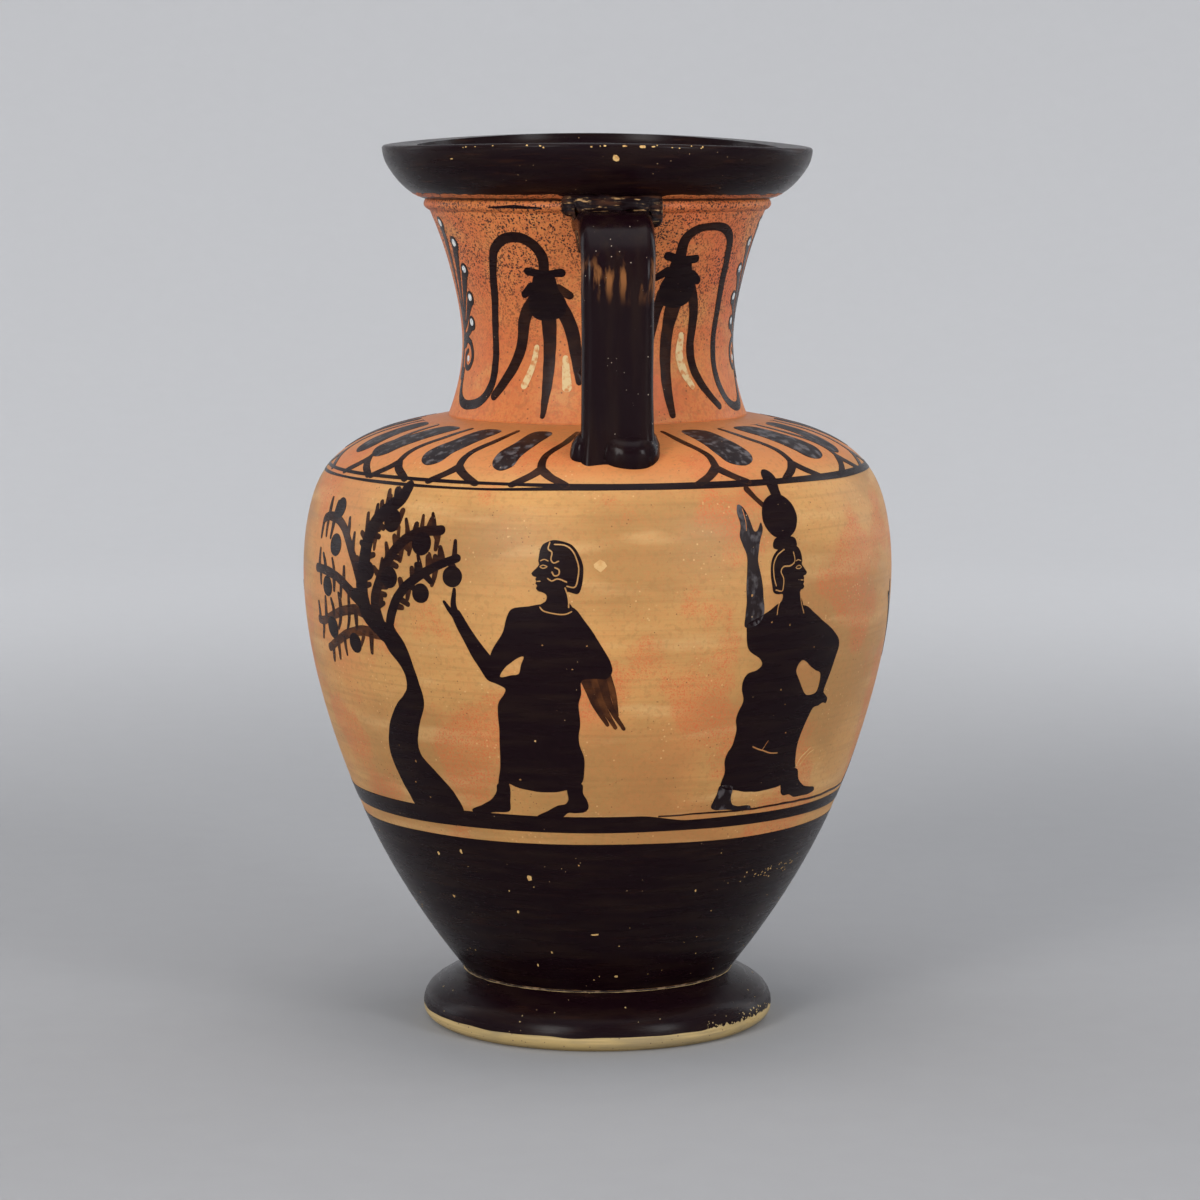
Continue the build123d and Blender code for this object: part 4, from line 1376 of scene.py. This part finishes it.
def root_lobes(name, node, place, turn, material):
    """The strap's foot, thumbed out on the shoulder into a broad lobe and a small one."""
    centre = turn * SHOULDER_UNROLL
    outline = (
        (-12, 20), (-15.2, 25), (-16.8, 30.5), (-15.6, 35), (-12.2, 36.8), (-9.4, 35.8), (-7.6, 33.6),
        (-5, 37),
        (-0.5, 39.8), (5, 40.8), (9.6, 39.6), (13.2, 36), (15.2, 30.6), (15.4, 25), (13.6, 20),
        (8, 17.6), (-4, 17.6),
    )
    lobes = shape(*((centre + across, down) for across, down in outline))
    edge = lobes.edge

    def rise(across, down):
        gap = np.linalg.norm(edge - np.array((across, down)), axis=1).min()
        share = min(gap / ROOT_ROUNDING, 1.0)
        return 0.15 + ROOT_HEIGHT * math.sqrt(1 - (1 - share) ** 2)

    mesh = skin_mesh(name, place, [lobes], [], rise, SLIP_ROOT)
    return new_piece(name, mesh, [node], material)


# ---------------------------------------------------------------- the vase put together

def unsteady(level, size, length, seed):
    """A band's edge that wanders about its level."""
    def edge(angle):
        spot = Vector((math.cos(angle), math.sin(angle), 0)) * BODY_UNROLL / length
        return level + size * noise.noise(spot + Vector((0, 0, seed)))
    return edge


def eased(value, low, high):
    """0 below low, 1 above high, smooth in between."""
    share = min(max((value - low) / (high - low), 0.0), 1.0)
    return share * share * (3 - 2 * share)


def scattered(count, across, up, sizes):
    """Ragged flakes strewn over a patch."""
    flakes = []
    for _ in range(count):
        size = random.uniform(*sizes)
        here = random.uniform(*across)
        height = random.uniform(*up)
        flakes.append(flake(here, height, size * random.uniform(1, 1.8), size))
    return flakes


clay_field = frieze_clay()
clay_neck = neck_clay("neck_clay", 238, 284)
clay_foot = foot_clay()
black = gloss("black_slip")
black_lower = gloss("lower_black", 0.06, brown=0.05)
black_lip = gloss("lip_black", 0.06, brown=0.10)
black_worn = gloss("worn_black", 0.08, grey=0.45)
black_tongue = gloss("tongue_black", 0.07, grey=0.7)
wad_finish = wad_clay()
cream = dusty_paint("cream_paint", (0.72, 0.53, 0.27, 1), (0.60, 0.25, 0.09, 1), 480)
white = dusty_paint("white_paint", (0.72, 0.74, 0.72, 1), (0.30, 0.36, 0.42, 1), 900)
bare = dusty_paint("bare_clay", (0.66, 0.42, 0.16, 1), (0.50, 0.26, 0.09, 1), 700)
seam = seam_slip()

turned_piece("foot_clay_body", "foot", clay_foot)
turned_piece("foot_seam", "foot_slip", seam)
turned_piece("body_wall", "body", clay_field)
turned_piece("neck_seam", "neck_slip", clay_neck)
turned_piece("neck_wall", "neck", clay_neck)
turned_piece("collar_ridge", "collar", clay_neck)
turned_piece("mouth_seam", "mouth_slip", clay_neck)
turned_piece("mouth_lip", "mouth", black_lip)

body_wall = Wall("body")
frieze = body_wall.by_height(BODY_UNROLL)
shoulder = body_wall.from_top(SHOULDER_UNROLL)
neck_side = Wall("neck").by_height(NECK_UNROLL)
lip_wall = Wall("mouth")
lip_side = lip_wall.by_height(LIP_UNROLL)
foot_side = Wall("foot").by_height(LIP_UNROLL)
collar_side = Wall("collar").by_height(LIP_UNROLL)

# The black foot, its lower edge worn ragged at the right
FOOT_EDGE = 5.7
WORN_FROM, WORN_TO = math.radians(38), math.radians(74)
foot_edge = unsteady(FOOT_EDGE, 0.5, 18, 3.1)
foot_wear = unsteady(0.4, 1.5, 2.2, 8.2)


def worn_foot_edge(angle):
    worn = eased(angle, WORN_FROM - 0.15, WORN_FROM) * (1 - eased(angle, WORN_TO, WORN_TO + 0.15))
    return foot_edge(angle) + worn * max(foot_wear(angle), 0)


foot_glaze_top = unsteady(FOOT_TOP - 0.15, 0.1, 9, 1.7)
band("foot_glaze", foot_side, LIP_UNROLL, worn_foot_edge, foot_glaze_top, black_lower)

# Under the lip the black stops short of the ridge, except over the handles
BARE_ROOT = 2.0
LIP_BASE = lip_wall.line[0][1]
root_wander = unsteady(0, 0.55, 7, 6.3)


def bare_root_top(angle):
    from_handle = min(angle, TURN - angle, abs(angle - math.pi))
    return LIP_BASE + 0.25 + (BARE_ROOT + root_wander(angle)) * eased(from_handle, 0.2, 0.3)


lip_base_edge = unsteady(LIP_BASE, 0, 1, 0)
band("lip_bare_root", lip_side, LIP_UNROLL, lip_base_edge, bare_root_top, clay_neck)
ridge_stroke = stroke(((-57, 299.3), (-45, 299.7), (-31, 299.2)), [0.5, 1.2, 0.7])
paint("ridge_stroke", collar_side, [ridge_stroke], black)

# Lower body, ground line and the two lines under the shoulder
GROUND_RIGHT = 88.1       # the ground line's top where it is thinner
glaze_low = unsteady(BODY_BASE + 0.2, 0.15, 7, 2.2)
glaze_high = unsteady(RESERVED_LOW, 0.55, 60, 4.4)
band("lower_glaze", frieze, BODY_UNROLL, glaze_low, glaze_high, black_lower)
ground_right = unsteady(GROUND_RIGHT, 0.3, 30, 7.7)


def ground_top(angle):
    lowered = eased(angle, 0.08, 0.28) * (1 - eased(angle, 3.5, 4.2))
    return ground_right(angle) + (GROUND_HIGH - GROUND_RIGHT) * (1 - lowered)


band("ground_line", frieze, BODY_UNROLL, unsteady(GROUND_LOW, 0.5, 45, 5.5), ground_top, black)


def merging(level, merged):
    """A line under the shoulder that runs into its neighbour at the right."""
    wander = unsteady(0, 0.35, 40, level)

    def edge(angle):
        turned = (angle + math.pi) % TURN - math.pi
        right = eased(turned, -0.5, -0.15) * (1 - eased(turned, 2.4, 3.1))
        return level + (merged - level) * right + wander(angle)
    return edge


band("upper_line", shoulder, SHOULDER_UNROLL, merging(47.2, 47.4), merging(48.7, 49.2), black)
band("lower_line", shoulder, SHOULDER_UNROLL, merging(49.9, 48.9), merging(51.0, 50.0), black)
hairline = [(16 + 20 * k, 90.0 + 0.3 * (k % 2)) for k in range(11)]
paint("ground_hairline", frieze, [stroke(hairline, [0.5, 0.9, 0.6], 0.2)], black)

# The picture on the front
tree_marks, tree_gaps = fruit_tree()
picker_marks, picker_gaps = picking_woman()
bearer_marks, bearer_gaps = jar_bearer()
rubbed_marks, rubbed_gaps = jar_bearer_worn()
paint("tree", frieze, tree_marks, black, gaps=tree_gaps)
paint("picking_woman", frieze, picker_marks, black, gaps=picker_gaps)
paint("jar_bearer", frieze, bearer_marks, black, gaps=bearer_gaps)
paint("jar_bearer_rubbed", frieze, rubbed_marks, black_worn, gaps=rubbed_gaps)

# The same workshop figures go round the back
BACK_FIGURES = (
    ("second_picker", picker_marks, picker_gaps, 192.0, 1, 0.93, -28.0),
    ("far_tree", tree_marks, tree_gaps, 335.0, -1, 0.97, -98.0),
    ("far_bearer", bearer_marks + rubbed_marks, bearer_gaps + rubbed_gaps, 241.0, -1, 1.0, 64.0),
    ("far_picker", picker_marks, picker_gaps, 415.0, 1, 1.0, -30.0),
    ("third_picker", picker_marks, picker_gaps, -166.0, -1, 0.96, -30.0),
)
for name, marks, gaps, across, flip, size, middle in BACK_FIGURES:
    how = {"flip": flip, "size": size, "middle": middle, "base": GROUND_LOW + 5.0}
    paint(name, frieze, moved_all(marks, across, **how), black, gaps=moved_all(gaps, across, **how))

# Neck
BACK_TURN = math.pi
for turn, prefix in ((0.0, "front"), (BACK_TURN, "back")):
    away = turn * NECK_UNROLL
    paint(prefix + "_left_lotus", neck_side, moved_all(left_lotus(), away), black)
    paint(prefix + "_right_lotus", neck_side, moved_all(right_lotus(), away), black)
    paint(prefix + "_cream_petals", neck_side, moved_all(cream_dashes(), away), cream)
for side, prefix in ((-1, "left"), (1, "right")):
    paint(prefix + "_palmette", neck_side, side_palmette(side), black)
    lights = palmette_lights(side)
    paint(prefix + "_palmette_lights", neck_side, lights, white, lift=OVERPAINT_LIFT)

# Shoulder
left_tongues, left_ribs = shoulder_side(-1, ((31.5, 9.5, 6.3, 42), (57.5, 12, 8, 41),
(84, 14.5, 11, 39.5)))
right_tongues, right_ribs = shoulder_side(1, ((38.5, 14, 4, 40.5), (70, 16, 9, 40.5)))
paint("shoulder_tongues", shoulder, left_tongues + right_tongues, black_tongue)
paint("shoulder_ribs", shoulder, left_ribs + right_ribs, black)

# Handles
black_strap = handle_gloss(266, 286)
for facing, turn, prefix in ((-1, 0.0, "front"), (1, BACK_TURN, "back")):
    strap_handle(prefix + "_strap", prefix + "_handle", prefix + "_lower_wad", facing, black_strap)
    kneaded(prefix + "_root_wad", prefix + "_upper_wad", facing, wad_finish)
    root_lobes(prefix + "_foot_lobes", prefix + "_lower_wad", shoulder, turn, black_strap)

# Where the black has flaked or never reached
lip_flakes = [
    flake(0, 317, 3.6, 2.8), flake(9, 321, 2.6, 1.2), flake(3, 321, 1.8, 0.6), flake(13, 321, 1.6, 0.5),
    flake(-62, 317, 1.2, 0.5), flake(-4, 321, 1.2, 0.6),
]
lip_flakes += scattered(16, (-60, 40), (320.6, 321.6), (0.3, 0.7))
paint("lip_flakes", lip_side, lip_flakes, bare, lift=OVERPAINT_LIFT)

body_flakes = [
    flake(-40, 66, 2.4, 2.2), flake(-86, 72, 1.6), flake(-72, 74, 1.4, 1.8), flake(-50, 52, 1.4),
    flake(-88, 55, 1.6, 1.3), flake(-10, 44, 5.4, 0.8), flake(4, 26, 3.8, 0.9), flake(-36, 36, 1.1, 1.3),
    flake(-48, 30, 1.2, 1.4), flake(40, 60, 1.1),
]
body_flakes += scattered(34, (60, 105), (61, 66), (0.3, 0.7))
body_flakes += scattered(90, (-320, 320), (24, 78), (0.25, 0.6))
paint("body_flakes", frieze, body_flakes, bare, lift=OVERPAINT_LIFT)
foot_flakes = scattered(60, (45, 95), (4, 9), (0.25, 0.7)) + scattered(22, (-230, 230), (5.5, 15),
(0.25, 0.5))
paint("foot_flakes", foot_side, foot_flakes, clay_foot, lift=OVERPAINT_LIFT)

# Small accidents on the bare clay
spot_paint = dusty_paint("pale_spot", (0.60, 0.365, 0.15, 1), (0.54, 0.285, 0.10, 1), 300)
accidents = [
    flake(-8, 179.5, 5.4, 4.8), stroke(((76, 103.5), (78, 107), (82.5, 110)), [0.3, 0.5, 0.3]),
    stroke(((78.5, 104), (81.5, 107.5), (85, 109)), [0.3, 0.45, 0.3]), flake(-31, 118, 0.8),
    flake(24, 151, 0.9),
]
paint("clay_accidents", frieze, accidents, spot_paint)


# ---------------------------------------------------------------- room, camera and light

FLOOR_RADIUS = 1.5
COVE_RADIUS = 1.9
WALL_TOP = 4.2
COVE_STEPS = 32           # up the curve
COVE_AROUND = 128
AIR_TINT = (0.93, 0.95, 1.0, 1)
AIR_STRENGTH = 0.85


def studio():
    """A round paper cove: a flat floor that curves up into a wall on every side."""
    profile = [(0.3, 0.0), (FLOOR_RADIUS, 0.0)]
    for k in range(1, COVE_STEPS + 1):
        turn = math.pi / 2 * k / COVE_STEPS
        profile.append((FLOOR_RADIUS + COVE_RADIUS * math.sin(turn), COVE_RADIUS * (1 - math.cos(turn))))
    profile.append((FLOOR_RADIUS + COVE_RADIUS, WALL_TOP))
    around = COVE_AROUND
    vertices = [(r * math.cos(TURN * k / around), r * math.sin(TURN * k / around), z)
                for r, z in profile for k in range(around)]
    polygons = [tuple(range(around))]
    for ring in range(len(profile) - 1):
        for k in range(around):
            ahead = (k + 1) % around
            polygons.append((ring * around + k, (ring + 1) * around + k,
                             (ring + 1) * around + ahead, ring * around + ahead))
    mesh = bpy.data.meshes.new("studio_cove")
    mesh.from_pydata(vertices, [], polygons)
    mesh.polygons.foreach_set("use_smooth", [True] * len(mesh.polygons))
    mesh.materials.append(studio_paper())
    cove = bpy.data.objects.new("studio_cove", mesh)
    bpy.context.scene.collection.objects.link(cove)


def softbox(name, place, aim, width, height, power, tint):
    """A large soft lamp, itself unseen by the camera."""
    lamp = bpy.data.lights.new(name, "AREA")
    lamp.shape = "RECTANGLE"
    lamp.size = width
    lamp.size_y = height
    lamp.energy = power
    lamp.color = tint
    holder = bpy.data.objects.new(name, lamp)
    holder.location = place
    holder.rotation_euler = (Vector(aim) - Vector(place)).to_track_quat("-Z", "Y").to_euler()
    holder.visible_camera = False
    bpy.context.scene.collection.objects.link(holder)


def view_camera():
    camera = bpy.data.cameras.new("camera")
    camera.lens = LENS
    camera.sensor_width = SENSOR
    camera.shift_x = VIEW_SHIFT
    camera.clip_start = 0.01
    holder = bpy.data.objects.new("camera", camera)
    away = VIEW_DISTANCE * MM
    holder.location = (away * math.sin(VIEW_ANGLE), -away * math.cos(VIEW_ANGLE), VIEW_HEIGHT * MM)
    holder.rotation_euler = (math.pi / 2 - VIEW_PITCH, 0, VIEW_ANGLE)
    bpy.context.scene.collection.objects.link(holder)
    bpy.context.scene.camera = holder


studio()
view_camera()
MIDDLE = (0, 0, 0.17)
softbox("key_left", (-1.25, -1.75, 0.95), MIDDLE, 0.6, 1.0, 25, (1.0, 0.985, 0.96))
softbox("fill_right", (1.35, -1.65, 0.85), MIDDLE, 0.5, 0.9, 17, (0.97, 0.985, 1.0))
softbox("top_soft", (0, -0.3, 2.2), MIDDLE, 1.6, 1.6, 10, (1.0, 1.0, 1.0))
softbox("edge_left", (-1.7, 0.9, 0.8), MIDDLE, 0.5, 1.4, 4.5, (0.93, 0.96, 1.0))
softbox("edge_right", (1.7, 0.9, 0.8), MIDDLE, 0.5, 1.4, 4.5, (0.90, 0.95, 1.0))

world = bpy.data.worlds.new("studio_air")
world.use_nodes = True
air = world.node_tree.nodes["Background"]
air.inputs["Color"].default_value = AIR_TINT
air.inputs["Strength"].default_value = AIR_STRENGTH
bpy.context.scene.world = world
bpy.context.scene.view_settings.view_transform = "Standard"
